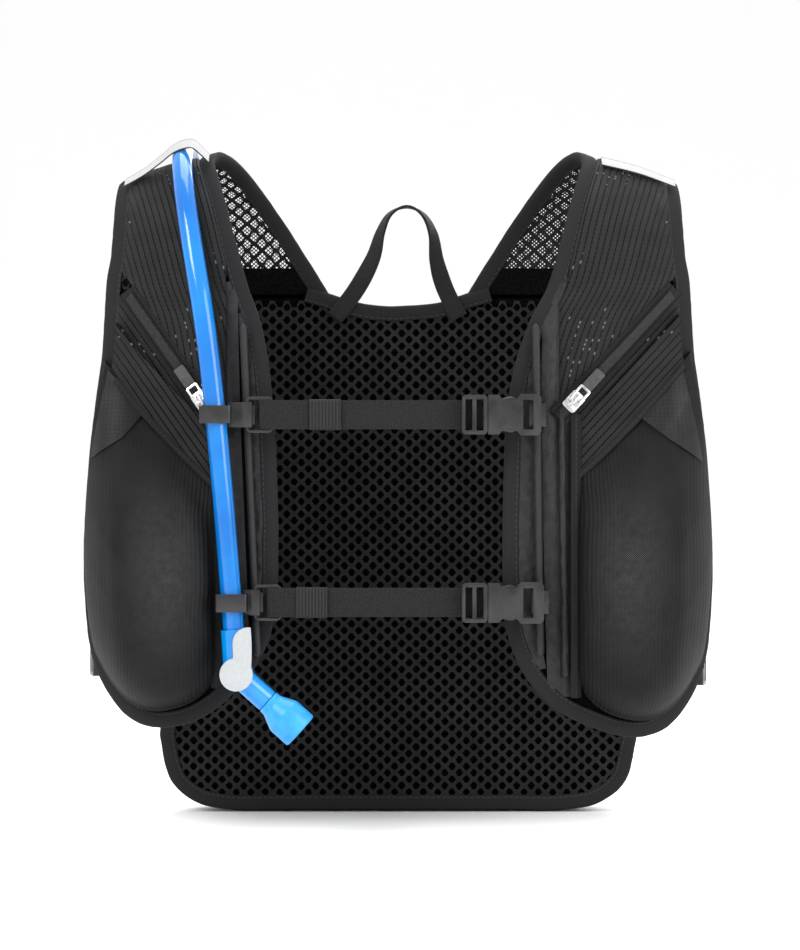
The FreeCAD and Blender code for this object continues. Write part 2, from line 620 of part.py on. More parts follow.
def strap_ring(level, grown=0.0):
    """Ring between the tab's eye and the fold of the webbing, or the room that it needs."""
    bar_x = rail_x("left", STRAPS[level]) + 0.5
    wire = RING_WIRE + 2 * grown
    x0, x1, half = bar_x - RING_WIRE / 2 - grown, bar_x + RING_LONG + grown, RING_HALF + grown
    outer = rounded(box(x0, x1, RING_Y - wire / 2, RING_Y + wire / 2, -half, half), 3.0, Y_AXIS)
    return outer.cut(box(x0 + wire, x1 - wire, RING_Y - 3, RING_Y + 3, wire - half, half - wire))


WEB_END_X = BUCKLE_X - 5.0
KEEPER_X = {"upper": (-46.0, -29.5), "lower": (-52.8, -36.6)}


def chest_webbing(level):
    """Webbing from the ring to the insert, folded round the ring, its tail held by an elastic keeper."""
    fold_x = rail_x("left", STRAPS[level]) + 6.4
    half = WEB_WIDE / 2
    back, front = WEB_Y + WEB_THICK / 2, WEB_Y - WEB_THICK / 2 - 3.0
    sewn = fold_x + 13
    strip = box(fold_x, WEB_END_X, WEB_Y - WEB_THICK / 2, back, -half, half)
    doubled = box(fold_x, sewn, front, back, -half, half)
    a, b = KEEPER_X[level]
    tail = box(sewn, a + 4, WEB_Y - 1.5 * WEB_THICK, WEB_Y, -half, half)
    keeper = box(a, b, WEB_Y - 1.5 * WEB_THICK - 0.9, back + 0.9, -half - 0.8, half + 0.8)
    return strip.fuse(doubled).fuse(tail).fuse(keeper).cut(strap_ring(level, 0.3))


BUCKLE_HALF, BUCKLE_THICK = 10.2, 7.0
WINDOWS = (6.2, 15.8)      # open sides of the housing, from its mouth
END_SLOT = (18.0, 23.2)


def buckle_insert():
    """Male half: a ladder frame on the webbing behind it, and a guide blade. Its shoulder is at x = 0."""
    frame = rounded(box(-13.5, -0.3, STRAP_Y - 3.2, STRAP_Y + 3.6, -BUCKLE_HALF, BUCKLE_HALF), 2.2, Y_AXIS)
    frame = frame.cut(box(-11.8, -2.4, STRAP_Y - 5, STRAP_Y + 5, -8.1, 8.1))
    bar = box(-8.2, -6.0, STRAP_Y - 1.6, STRAP_Y + 1.2, -8.2, 8.2)
    blade = box(-0.6, 14.0, STRAP_Y - 0.9, STRAP_Y + 0.9, -1.1, 1.1)
    channel = box(-20, 20, STRAP_Y + 1.5, STRAP_Y + 9, -7.8, 7.8)
    return frame.fuse(bar).fuse(blade).cut(channel)


def buckle_prong(up):
    """Springy arm with its thumb pad. It folds inwards about (0.6, 6.1) as the insert slides out."""
    outer = [(0.3, 7.6), (4.5, 8.0), (9, 8.7), (12, 9.25), (14, 8.6), (15.3, 6.8)]
    inner = [(15.3, 5.2), (9, 5.4), (0.3, 4.6)]
    segments = [outer, [outer[-1], inner[0]], inner, [inner[-1], outer[0]]]
    segments = [[(x, up * z) for x, z in s] for s in segments]
    return prism_y(segments, STRAP_Y - 1.45, STRAP_Y + 1.45)


def buckle_housing(level):
    """Female half: a flat sleeve with open sides for the thumb pads, an end slot, and a rail channel."""
    half, thick = BUCKLE_HALF, BUCKLE_THICK / 2
    rail = rail_x("right", STRAPS[level]) - BUCKLE_X
    end = rail + 1.6
    wide = half + 0.5
    waist = [[(0, half), (5.5, half)], [(5.5, half), (9.5, 7.4), (12.5, 7.4), (16.5, wide)],
             [(16.5, wide), (end - 1.5, wide)], [(end - 1.5, wide), (end, wide - 2)]]
    other = [[(x, -z) for x, z in s[::-1]] for s in waist[::-1]]
    outline = waist + [[(end, wide - 2), (end, 2 - wide)]] + other + [[(0, -half), (0, half)]]
    body = prism_y(outline, STRAP_Y - thick, STRAP_Y + thick)
    hollow = box(-1, 16.2, STRAP_Y - 1.8, STRAP_Y + 1.8, -8.5, 8.5)
    windows = box(WINDOWS[0], WINDOWS[1], STRAP_Y - 1.8, STRAP_Y + 1.8, -12, 12)
    slot = box(END_SLOT[0], END_SLOT[1], STRAP_Y - 9, STRAP_Y + 9, -7.6, 7.6)
    neck = box(rail - 4.4, end, STRAP_Y + thick - 1, RAIL_Y - 3.4, -6, 6).cut(slot)
    return body.cut(hollow).cut(windows).cut(slot).fuse(neck).fuse(rail_channel(rail, 12))


def lifted(shape, level, x=0.0):
    return shape.translated(V(x, 0, STRAPS[level]))


# ---- bite valve -------------------------------------------------------------------------------------------
VALVE_TOP = V(*HOSE_POINTS[-1])
VALVE_MIDDLE = V(-83.0, VALVE_TOP.y, 85.0)
LEVER_Y = VALVE_TOP.y - 8.8
SPOUT_WAY = V(math.sin(math.radians(48)), 0, -math.cos(math.radians(48)))


def valve_body():
    """Elbow: a sleeve that takes the hose, a round chamber for the lever's plug, and a spout turned aside."""
    up = VALVE_TOP - VALVE_MIDDLE
    sleeve = Part.makeCone(6.9, 6.6, up.Length - 0.2, VALVE_MIDDLE, up)
    chamber = Part.makeCylinder(8.4, 14.5, VALVE_MIDDLE + V(0, -7.2, 0), Y_AXIS)
    spout = Part.makeCylinder(6.2, 21, VALVE_MIDDLE, SPOUT_WAY)
    bore = Part.makeCylinder(4.05, 9.5, VALVE_MIDDLE + V(0, -8, 0), Y_AXIS)
    return sleeve.fuse(chamber).fuse(spout).cut(bore)


def valve_lever():
    """Shut-off lever: a disc with a thumb arm and the plug that turns in the chamber."""
    c = VALVE_MIDDLE
    disc = Part.makeCylinder(8.5, 2.4, V(c.x, LEVER_Y - 1.0, c.z), Y_AXIS)
    arm_points = [(-2.4, 4), (-1.6, 12), (-0.6, 20.5), (2.6, 23.4), (7.4, 24.2)]
    edge = [(7.4, 24.2), (8.0, 12), (7.6, 2)]
    segments = [[(c.x + x, c.z + z) for x, z in s] for s in (arm_points, edge, [edge[-1], arm_points[0]])]
    arm = prism_y(segments, LEVER_Y - 1.0, LEVER_Y + 1.0)
    plug = Part.makeCylinder(4.0, 7.6, V(c.x, LEVER_Y, c.z), Y_AXIS)
    return disc.fuse(arm).fuse(plug)


def mouthpiece():
    """Soft bite piece pushed over the spout: a neck, a flare and a broad flattened end."""
    base = VALVE_MIDDLE + SPOUT_WAY * 21.2
    stub = Part.makeCylinder(6.4, 4, base, SPOUT_WAY)
    flare = Part.makeCone(6.4, 10.2, 8, base + SPOUT_WAY * 3, SPOUT_WAY)
    end = Part.makeCylinder(10.2, 12, base + SPOUT_WAY * 11, SPOUT_WAY)
    return stub.fuse(flare).fuse(end)


# ---- haul loop --------------------------------------------------------------------------------------------
def haul_loop():
    """Webbing loop, flat where it is sewn to the neck's front and turned edge-on at its top."""
    wide, thick = 10.0, 1.6
    stations = [(-35, 275, 0), (-23, 291, 2), (-14, 308, 35), (-10, 322, 60), (-4.5, 332.5, 78),
                (5, 336.5, 90), (14, 332, 78), (19.5, 321, 60), (21.5, 306, 35), (26, 291, 2), (34, 275, 0)]
    path = [(x, z) for x, z, turn in stations]
    sections = []
    for (x, z, turn), (out_x, out_z) in zip(stations, shifted(path, 1.0)):
        normal = V(out_x - x, 0, out_z - z).normalize()
        a = math.radians(turn)
        wide_way = normal * math.cos(a) + Y_AXIS * math.sin(a)
        thick_way = Y_AXIS * math.cos(a) - normal * math.sin(a)
        spot = V(x, BACK_Y - BINDING_PROUD - GAP - thick / 2, z)
        w, t = wide_way * (wide / 2), thick_way * (thick / 2)
        corners = [spot + w + t, spot - w + t, spot - w - t, spot + w - t]
        sections.append(Part.makePolygon(corners + corners[:1]))
    return Part.makeLoft(sections, True, True)


# ---- assembly ---------------------------------------------------------------------------------------------
os.makedirs("parts", exist_ok=True)
wire, radii = hose_path()
print("hose", round(wire.Length, 1), "mm; radii", [round(r) for r in radii])
hose = tube(wire, HOSE_D).cut(tube(wire, HOSE_BORE))
print("hose volume over section times length",
      round(hose.Volume / (math.pi / 4 * (HOSE_D ** 2 - HOSE_BORE ** 2) * wire.Length), 4))

panel = back_panel()
save("back_panel", panel)
save("back_binding", back_binding(panel))
save("pack_shell", pack_solid(0).cut(pack_solid(FABRIC)).cut(hose_hole()))
save("back_foam", back_foam())
save("rear_pocket", rear_pocket())
save("rear_zip_tape", at_rear(zip_tape(2 * REAR_ZIP_HALF + 14)))
save("rear_zip_slider", at_rear(zip_slider()).translated(V(REAR_ZIP_HALF - 4, 0, 0)))
save("rear_zip_pull", at_rear(zip_pull()).translated(V(REAR_ZIP_HALF - 4, 0, 0)))
save("reservoir", reservoir())
save("fill_port", fill_port())
save("fill_cap", fill_cap())
save("outlet_elbow", outlet_elbow())
save("elbow_button", elbow_button())
save("hose", hose)
save("hose_port", hose_port(wire))
save("hose_keeper", label_across([(-147, 1.9), (-125.5, 10), (-120, 15.1), (-114.5, 16.4), (-109, 15.1),
                                  (-100, 1.9)]))
save("shoulder_label", label_across([(108, 1.4), (128.5, 1.4), (149, 1.4)]))
straps = []
for side in SIDES:
    front, yoke = front_panel(side), shoulder_yoke(side)
    save(f"front_panel_{side}", front)
    save(f"shoulder_yoke_{side}", yoke)
    save(f"panel_binding_{side}", panel_binding(side, front, yoke))
    save(f"chest_pocket_{side}", chest_pocket(side))
    save(f"zip_tape_{side}", chest_zip_tape(side))
    save(f"zip_slider_{side}", on_zip(side, zip_slider()))
    save(f"zip_pull_{side}", on_zip(side, zip_pull()))
    save(f"flask_pocket_{side}", flask_pocket(side))
    save(f"gusset_{side}", gusset(side))
    save(f"strap_rail_{side}", strap_rail(side))
    lock = ladder_lock(side)
    save(f"ladder_lock_{side}", lock)
    straps += side_strap(side, lock)
save("pocket_flaps", Part.makeCompound([pocket_flap(side) for side in SIDES]))
save("side_straps", Part.makeCompound(straps))
for level in STRAPS:
    save(f"{level}_hose_clip", lifted(hose_clip(level), level))
    save(f"{level}_ring", lifted(strap_ring(level), level))
    save(f"{level}_webbing", lifted(chest_webbing(level), level))
    save(f"{level}_buckle_insert", lifted(buckle_insert(), level, BUCKLE_X))
    save(f"{level}_prong_top", lifted(buckle_prong(1), level, BUCKLE_X))
    save(f"{level}_prong_foot", lifted(buckle_prong(-1), level, BUCKLE_X))
    save(f"{level}_buckle_housing", lifted(buckle_housing(level), level, BUCKLE_X))
save("valve_body", valve_body())
save("valve_lever", valve_lever())
save("mouthpiece", mouthpiece())
save("haul_loop", haul_loop())
print(len(os.listdir("parts")), "nodes")
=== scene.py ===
import bisect
import json
import math

import bpy
from mathutils import Matrix, Vector, noise


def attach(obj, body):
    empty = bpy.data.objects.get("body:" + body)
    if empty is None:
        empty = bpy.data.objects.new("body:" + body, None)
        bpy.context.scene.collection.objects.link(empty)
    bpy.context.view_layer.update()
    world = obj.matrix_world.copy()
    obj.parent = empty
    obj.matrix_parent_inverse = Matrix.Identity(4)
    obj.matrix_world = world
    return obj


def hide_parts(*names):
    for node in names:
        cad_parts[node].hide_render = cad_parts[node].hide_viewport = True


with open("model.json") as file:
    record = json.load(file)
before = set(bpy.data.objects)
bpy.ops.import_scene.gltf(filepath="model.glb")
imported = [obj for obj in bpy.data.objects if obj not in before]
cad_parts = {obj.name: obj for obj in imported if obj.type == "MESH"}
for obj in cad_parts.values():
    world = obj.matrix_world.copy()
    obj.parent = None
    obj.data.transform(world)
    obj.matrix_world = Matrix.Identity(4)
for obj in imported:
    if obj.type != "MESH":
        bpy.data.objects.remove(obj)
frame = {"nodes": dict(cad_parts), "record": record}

noise.seed_set(1)
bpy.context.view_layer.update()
bpy.ops.object.select_all(action="DESELECT")

# ---- Studio ------------------------------------------------------------------------------------------------
# A pale floor that curves up into a backdrop, lit by broad soft lamps from both sides and above.
# The camera stands square in front of the vest, level with the middle of the chest.
FRONT_Y = -72.0
eye = bpy.data.objects.new("camera", bpy.data.cameras.new("camera"))
bpy.context.collection.objects.link(eye)
eye.location = (0.001, FRONT_Y / 1000 - 1.700, 0.1874)
eye.rotation_euler = (math.radians(90), 0, 0)
eye.data.lens = 123.9
eye.data.sensor_width = 36
bpy.context.scene.camera = eye
bpy.context.scene.view_settings.view_transform = "Standard"

bpy.ops.mesh.primitive_plane_add(size=1, location=(0, 0, 0))
sweep = bpy.context.object
sweep.name = "backdrop"
bpy.ops.object.mode_set(mode="EDIT")
bpy.ops.transform.resize(value=(16, 10, 1))
bpy.ops.mesh.select_all(action="DESELECT")
bpy.ops.object.mode_set(mode="OBJECT")
for edge in sweep.data.edges:
    edge.select = all(sweep.data.vertices[i].co.y > 0 for i in edge.vertices)
bpy.ops.object.mode_set(mode="EDIT")
bpy.ops.mesh.select_mode(type="EDGE")
bpy.ops.mesh.extrude_region_move(TRANSFORM_OT_translate={"value": (0, 0, 7)})
bpy.ops.mesh.select_all(action="SELECT")
bpy.ops.mesh.normals_make_consistent(inside=True)
bpy.ops.object.mode_set(mode="OBJECT")
bend = sweep.modifiers.new("bend", "BEVEL")
bend.width = 2.5
bend.segments = 24
bpy.ops.object.modifier_apply(modifier="bend")
bpy.ops.object.shade_smooth()
paper = bpy.data.materials.new("backdrop_paper")
paper.use_nodes = True
paper.node_tree.nodes["Principled BSDF"].inputs["Base Color"].default_value = (0.95, 0.95, 0.95, 1)
paper.node_tree.nodes["Principled BSDF"].inputs["Roughness"].default_value = 0.9
sweep.data.materials.append(paper)
sweep.select_set(False)


def soft_lamp(name, place, size, watts):
    """A square area lamp aimed at the middle of the vest."""
    lamp = bpy.data.objects.new(name, bpy.data.lights.new(name, "AREA"))
    lamp.data.size = size
    lamp.data.energy = watts
    lamp.location = place
    lamp.rotation_euler = (Vector((0, 0, 0.2)) - Vector(place)).to_track_quat("-Z", "Y").to_euler()
    bpy.context.collection.objects.link(lamp)


soft_lamp("key", (-1.3, -1.5, 1.7), 0.9, 30)
soft_lamp("fill", (1.7, -1.2, 0.9), 1.2, 20)
soft_lamp("top", (0.1, 0.5, 2.2), 1.6, 30)
soft_lamp("rear", (0.6, 2.2, 1.4), 1.6, 28)
sky = bpy.data.worlds.new("sky")
sky.use_nodes = True
sky.node_tree.nodes["Background"].inputs["Color"].default_value = (1, 1, 1, 1)
sky.node_tree.nodes["Background"].inputs["Strength"].default_value = 0.9
bpy.context.scene.world = sky


# ---- Hose --------------------------------------------------------------------------------------------------
# Clear blue tube, 10.8 mm outside. It is pushed on the spigot inside the pack, leaves through the port at the
# top, goes over the shoulder under a label loop, and runs down through the clips of both chest straps.
HOSE_D = 0.0108
HOSE_POINTS = [(-92, 73, 52), (-92.5, 76, 128), (-97, 73, 205), (-102.5, 65.5, 262), (-107, 62.5, 304),
               (-111, 43, 342), (-114, 10, 363), (-115.5, -26, 362), (-113, -57, 342), (-107, -76, 307),
               (-98.5, -87.5, 260), (-90.5, -87.5, 184), (-84.8, -87.5, 108)]


def finish(name, colour, rough, **sockets):
    """A new material with one shader. Returns the material, its node tree and the shader."""
    made = bpy.data.materials.new(name)
    made.use_nodes = True
    shader = made.node_tree.nodes["Principled BSDF"]
    shader.inputs["Base Color"].default_value = (*colour, 1)
    shader.inputs["Roughness"].default_value = rough
    for socket, value in sockets.items():
        shader.inputs[socket.replace("_", " ")].default_value = value
    return made, made.node_tree, shader


def put(tree, socket, value):
    """Links a socket to another node's output, or sets its value."""
    if isinstance(value, bpy.types.NodeSocket):
        tree.links.new(value, socket)
    else:
        socket.default_value = value


def calc(tree, operation, *values):
    """A maths node; gives its output."""
    node = tree.nodes.new("ShaderNodeMath")
    node.operation = operation
    for socket, value in zip(node.inputs, values):
        put(tree, socket, value)
    return node.outputs[0]


def fog(tree, where, scale, detail=3.0, rough=0.55, kind="ShaderNodeTexNoise"):
    """Noise over a piece's own coordinates; gives its value."""
    node = tree.nodes.new(kind)
    tree.links.new(where, node.inputs["Vector"])
    node.inputs["Scale"].default_value = scale
    if kind == "ShaderNodeTexNoise":
        node.inputs["Detail"].default_value = detail
        node.inputs["Roughness"].default_value = rough
    return node.outputs[0]


def tint(tree, value, dark, light, start=0.3, end=0.7):
    """A colour between dark and light, by value."""
    ramp = tree.nodes.new("ShaderNodeValToRGB")
    put(tree, ramp.inputs[0], value)
    ramp.color_ramp.elements[0].position = start
    ramp.color_ramp.elements[1].position = end
    ramp.color_ramp.elements[0].color = (*dark, 1)
    ramp.color_ramp.elements[1].color = (*light, 1)
    return ramp.outputs[0]


def relief(tree, shader, height, depth, strength=1.0):
    """Bump: height from 0 to 1 stands for depth metres."""
    bump = tree.nodes.new("ShaderNodeBump")
    bump.inputs["Strength"].default_value = strength
    bump.inputs["Distance"].default_value = depth
    put(tree, bump.inputs["Height"], height)
    tree.links.new(bump.outputs[0], shader.inputs["Normal"])


def own_place(tree):
    """The piece's own coordinates, in metres."""
    return tree.nodes.new("ShaderNodeTexCoord").outputs["Object"]


hose_line = bpy.data.curves.new("hose_line", "CURVE")
hose_line.dimensions = "3D"
spline = hose_line.splines.new("NURBS")
spline.points.add(len(HOSE_POINTS) - 1)
for point, (x, y, z) in zip(spline.points, HOSE_POINTS):
    point.co = (x / 1000, y / 1000, z / 1000, 1)
spline.order_u = 3
spline.use_endpoint_u = True
spline.resolution_u = 14
hose_line.bevel_depth = HOSE_D / 2
hose_line.bevel_resolution = 7
hose_line.use_fill_caps = True
hose = bpy.data.objects.new("drinking_hose", hose_line)
bpy.context.collection.objects.link(hose)
hose_blue, tree, shader = finish("hose_blue", (0.0, 0.17, 0.55), 0.14, Coat_Weight=0.45, Coat_Roughness=0.03,
                                 IOR=1.42, Subsurface_Weight=0.08, Subsurface_Scale=0.004)
haze = fog(tree, own_place(tree), 26.0)
put(tree, shader.inputs["Base Color"], tint(tree, haze, (0.0, 0.135, 0.50), (0.0, 0.21, 0.64)))
put(tree, shader.inputs["Roughness"], calc(tree, "MULTIPLY_ADD", haze, 0.12, 0.09))
hose.data.materials.append(hose_blue)
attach(hose, "vest")
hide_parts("hose")

# ---- Bite valve --------------------------------------------------------------------------------------------
# Glossy blue elbow pushed on the hose's end, a pale grey shut-off lever that turns on its front, and a softer,
# paler blue bite piece. All three are moulded, so every edge is rounded.
body_of = {node: body for body, held in frame["record"]["behaviour"]["bodies"].items() for node in held}


def moulded(node, material, radius, angle=28, segments=2):
    """A copy of a CAD node with its flats joined and its edges rounded, riding where the node rides."""
    piece = frame["nodes"][node].copy()
    piece.data = piece.data.copy()
    piece.parent = None
    piece.matrix_world = Matrix()
    piece.name = piece.data.name = "moulded_" + node
    bpy.context.collection.objects.link(piece)
    bpy.ops.object.select_all(action="DESELECT")
    piece.hide_render = False
    piece.hide_set(False)
    piece.select_set(True)
    bpy.context.view_layer.objects.active = piece
    bpy.ops.object.mode_set(mode="EDIT")
    bpy.ops.mesh.select_all(action="SELECT")
    bpy.ops.mesh.remove_doubles(threshold=0.00002)
    bpy.ops.mesh.dissolve_limited(angle_limit=math.radians(1.5))
    bpy.ops.object.mode_set(mode="OBJECT")
    if radius:
        round_off = piece.modifiers.new("round_off", "BEVEL")
        round_off.width = radius
        round_off.segments = segments
        round_off.limit_method = "ANGLE"
        round_off.angle_limit = math.radians(angle)
        bpy.ops.object.modifier_apply(modifier="round_off")
    bpy.ops.object.shade_smooth_by_angle(angle=math.radians(38))
    piece.data.materials.clear()
    piece.data.materials.append(material)
    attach(piece, body_of[node])
    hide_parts(node)
    piece.select_set(False)
    return piece


valve_blue, tree, shader = finish("valve_blue", (0.0, 0.26, 0.72), 0.2, Coat_Weight=0.5, Coat_Roughness=0.06,
                                  Subsurface_Weight=0.2, Subsurface_Scale=0.003)
haze = fog(tree, own_place(tree), 60.0)
put(tree, shader.inputs["Base Color"], tint(tree, haze, (0.0, 0.22, 0.66), (0.0, 0.30, 0.78)))
put(tree, shader.inputs["Roughness"], calc(tree, "MULTIPLY_ADD", haze, 0.15, 0.14))
bite_blue, tree, shader = finish("bite_blue", (0.02, 0.33, 0.80), 0.36, Subsurface_Weight=0.25,
                                 Subsurface_Scale=0.006)
haze = fog(tree, own_place(tree), 180.0)
put(tree, shader.inputs["Base Color"], tint(tree, haze, (0.015, 0.29, 0.74), (0.03, 0.37, 0.86)))
relief(tree, shader, haze, 0.0001)
lever_grey, tree, shader = finish("lever_grey", (0.43, 0.45, 0.46), 0.34, Coat_Weight=0.2)
haze = fog(tree, own_place(tree), 900.0, 2.0)
put(tree, shader.inputs["Base Color"], tint(tree, haze, (0.41, 0.43, 0.44), (0.46, 0.48, 0.49)))
relief(tree, shader, haze, 0.00004)
valve = moulded("valve_body", valve_blue, 0.0006)
lever = moulded("valve_lever", lever_grey, 0.0005)
bite = moulded("mouthpiece", bite_blue, 0.0012, 20, 3)

# ---- Back panel --------------------------------------------------------------------------------------------
# Two-layer spacer mesh: an open net of six-sided cells in front of a dark knitted backing, so air passes
# between the pack and the wearer. It is cut to shape and sewn to the pack round its rim.
CELL = (8.0, 7.2)
BACK_Y = 48.0
BACK_FOOT = [(0, 1), (60, 1), (92, 1), (112, 5), (127, 18), (133, 42)]
BACK_SIDE = [(133, 42), (127, 105), (117, 165), (118, 215), (131, 258), (141, 288)]
BACK_NECK = [(141, 288), (90, 288.2), (38, 288), (22, 283.4), (0, 281.5)]


def smooth_line(points, steps=16):
    """A dense, smooth run through points of any dimension."""
    ends = [Vector(p) for p in points]
    ends = [2 * ends[0] - ends[1]] + ends + [2 * ends[-1] - ends[-2]]
    run = []
    for a, b, c, d in zip(ends, ends[1:], ends[2:], ends[3:]):
        for k in range(steps):
            t = k / steps
            run.append(0.5 * (2 * b + (c - a) * t + (2 * a - 5 * b + 4 * c - d) * t ** 2
                              + (3 * b - a - 3 * c + d) * t ** 3))
    return run + [ends[-2]]


def read(table, key):
    """The value at key in a rising table of (key, value) pairs, straight between them."""
    keys = [pair[0] for pair in table]
    i = min(max(bisect.bisect_right(keys, key), 1), len(table) - 1)
    (k0, v0), (k1, v1) = table[i - 1], table[i]
    return v0 + (v1 - v0) * min(max((key - k0) / max(k1 - k0, 1e-9), 0.0), 1.0)


def inside(outline, x, y):
    """Whether a spot lies inside a closed outline."""
    hits = 0
    for a, b in zip(outline, outline[1:] + outline[:1]):
        if (a[1] > y) != (b[1] > y) and x < a[0] + (b[0] - a[0]) * (y - a[1]) / (b[1] - a[1]):
            hits += 1
    return hits % 2 == 1


def edit(*steps):
    """Runs edit-mode operators on the active piece, with everything selected first."""
    bpy.ops.object.mode_set(mode="EDIT")
    bpy.ops.mesh.select_all(action="SELECT")
    for step, settings in steps:
        step(**settings)
    bpy.ops.object.mode_set(mode="OBJECT")


def thicken(piece, thick, offset=-1.0):
    """Gives a sheet its thickness, behind its face."""
    wall = piece.modifiers.new("wall", "SOLIDIFY")
    wall.thickness = thick / 1000
    wall.offset = offset
    bpy.ops.object.modifier_apply(modifier="wall")


def dress(piece, material, nodes, body="vest", smooth=50):
    """Last steps of any sewn piece: shading, material, and what it rides on and stands for."""
    bpy.ops.object.shade_smooth_by_angle(angle=math.radians(smooth))
    piece.data.materials.clear()
    piece.data.materials.append(material)
    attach(piece, body)
    if nodes:
        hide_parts(*nodes)
    piece.select_set(False)
    return piece


def net(name, x0, x1, y0, y1, keep, place, hole, thick, out, cell=CELL):
    """A net of round holes over a patch, kept where keep(x, y) says, laid on a surface by place(x, y)."""
    bpy.ops.object.select_all(action="DESELECT")
    bpy.ops.mesh.primitive_circle_add(vertices=6, radius=1, fill_type="NGON", rotation=(0, 0, math.radians(30)))
    piece = bpy.context.object
    piece.name = piece.data.name = name
    bpy.ops.object.transform_apply(location=True, rotation=True, scale=True)
    wide, high = cell
    edit((bpy.ops.transform.resize, {"value": (wide / 3, high / math.sqrt(3), 1)}),
         (bpy.ops.transform.translate, {"value": (x0, y0, 0)}),
         (bpy.ops.mesh.duplicate_move, {"TRANSFORM_OT_translate": {"value": (wide / 2, high / 2, 0)}}))
    for label, count, shift in (("row", int((x1 - x0) / wide) + 1, (wide, 0, 0)),
                                ("column", int((y1 - y0) / high) + 1, (0, high, 0))):
        copies = piece.modifiers.new(label, "ARRAY")
        copies.count = count
        copies.use_relative_offset = False
        copies.use_constant_offset = True
        copies.constant_offset_displace = shift
        bpy.ops.object.modifier_apply(modifier=label)
    bpy.ops.object.mode_set(mode="EDIT")
    bpy.ops.mesh.select_mode(type="FACE")
    bpy.ops.mesh.select_all(action="DESELECT")
    bpy.ops.object.mode_set(mode="OBJECT")
    for face in piece.data.polygons:
        face.select = not keep(face.center.x, face.center.y)
    bpy.ops.object.mode_set(mode="EDIT")
    bpy.ops.mesh.delete(type="FACE")
    bpy.ops.mesh.select_all(action="SELECT")
    bpy.ops.mesh.remove_doubles(threshold=0.05)
    bpy.ops.mesh.inset(use_individual=True, thickness=wide * 0.08)
    bpy.ops.object.mode_set(mode="OBJECT")
    for face in piece.data.polygons:
        if face.select:
            middle = face.center.copy()
            for i in face.vertices:
                co = piece.data.vertices[i].co
                piece.data.vertices[i].co = middle + (co - middle).normalized() * hole
    bpy.ops.object.mode_set(mode="EDIT")
    bpy.ops.mesh.delete(type="FACE")
    bpy.ops.object.mode_set(mode="OBJECT")
    for v in piece.data.vertices:
        wobble = noise.noise_vector(Vector((v.co.x, v.co.y, 3)) / 7.0) * 0.28
        v.co = Vector(place(v.co.x + wobble.x, v.co.y + wobble.y)) / 1000
    face_out(piece, out)
    if thick:
        thicken(piece, thick)
    return piece


def face_out(piece, out):
    """Turns a sheet's faces towards out if most of them look the other way."""
    piece.data.update()
    way = sum((face.normal * face.area for face in piece.data.polygons), Vector())
    if way.dot(Vector(out)) < 0:
        edit((bpy.ops.mesh.flip_normals, {}))


half = smooth_line(BACK_FOOT) + smooth_line(BACK_SIDE)[1:] + smooth_line(BACK_NECK)[1:]
back_rim = [(p[0], p[1]) for p in half] + [(-p[0], p[1]) for p in reversed(half[1:-1])]


def back_bow(x, z):
    """How far the panel sags towards the wearer, with a few soft dents."""
    return 0.7 * noise.noise(Vector((x / 60, z / 60, 1.5)))


def near_back(x, z, grow=1.03):
    return inside(back_rim, x * grow, (z - 145) * grow + 145)


mesh_black, tree, shader = finish("spacer_mesh", (0.012, 0.012, 0.013), 0.72, Specular_IOR_Level=0.12)
spot = own_place(tree)
yarn = fog(tree, spot, 2600.0, 2.0)
worn = fog(tree, spot, 60.0)
put(tree, shader.inputs["Base Color"], tint(tree, calc(tree, "MULTIPLY_ADD", worn, 0.5, calc(tree, "MULTIPLY", yarn, 0.5)),
                                           (0.008, 0.008, 0.009), (0.024, 0.024, 0.025)))
relief(tree, shader, yarn, 0.00025)
backing, tree, shader = finish("knit_backing", (0.004, 0.004, 0.0045), 0.9, Specular_IOR_Level=0.03)
spot = own_place(tree)
knit = fog(tree, spot, 900.0, 1.0, kind="ShaderNodeTexVoronoi")
put(tree, shader.inputs["Base Color"], tint(tree, knit, (0.006, 0.006, 0.007), (0.002, 0.002, 0.002), 0.1, 0.7))
relief(tree, shader, knit, 0.0003)

back_net = net("back_panel_net", -142, 142, 0, 292, near_back, lambda x, z: (x, BACK_Y + back_bow(x, z), z),
               2.2, 1.5, (0, -1, 0))
dress(back_net, mesh_black, ["back_panel"])


def cloth(name, across, along, place, weave, out, thick=0.0, closed=False):
    """A woven sheet: a grid laid by place(u, v) in millimetres, its weave map by weave(u, v) in millimetres."""
    bpy.ops.object.select_all(action="DESELECT")
    bpy.ops.mesh.primitive_grid_add(x_subdivisions=across, y_subdivisions=along, size=1, calc_uvs=True)
    piece = bpy.context.object
    piece.name = piece.data.name = name
    spots = [(v.co.x + 0.5, v.co.y + 0.5) for v in piece.data.vertices]
    flat = [weave(u, v) for u, v in spots]
    layer = piece.data.uv_layers[0].data
    for loop in piece.data.loops:
        layer[loop.index].uv = flat[loop.vertex_index]
    for vertex, (u, v) in zip(piece.data.vertices, spots):
        vertex.co = Vector(place(u, v)) / 1000
    edit((bpy.ops.mesh.remove_doubles, {"threshold": 0.00001}))
    if closed:
        edit((bpy.ops.mesh.normals_make_consistent, {"inside": False}))
    else:
        face_out(piece, out)
    if thick:
        thicken(piece, thick)
    return piece


side_in = [(z, x) for x, z in ((90, 1), (112, 5), (127, 18), (133, 42), (127, 105), (117, 165), (118, 215),
                               (131, 258), (141, 288))]
side_in = [tuple(p) for p in smooth_line(side_in)]


def back_wide(z):
    return read(side_in, z)


def neck_top(x):
    return read([(0, 281.5), (22, 283.4), (35, 287.5), (60, 288)], abs(x))


def backing_spot(u, v):
    z = 1.5 + v * (286 - 1.5)
    x = (2 * u - 1) * (back_wide(z) - 1)
    return x, BACK_Y + 4.4, min(z, neck_top(x) - 0.5)


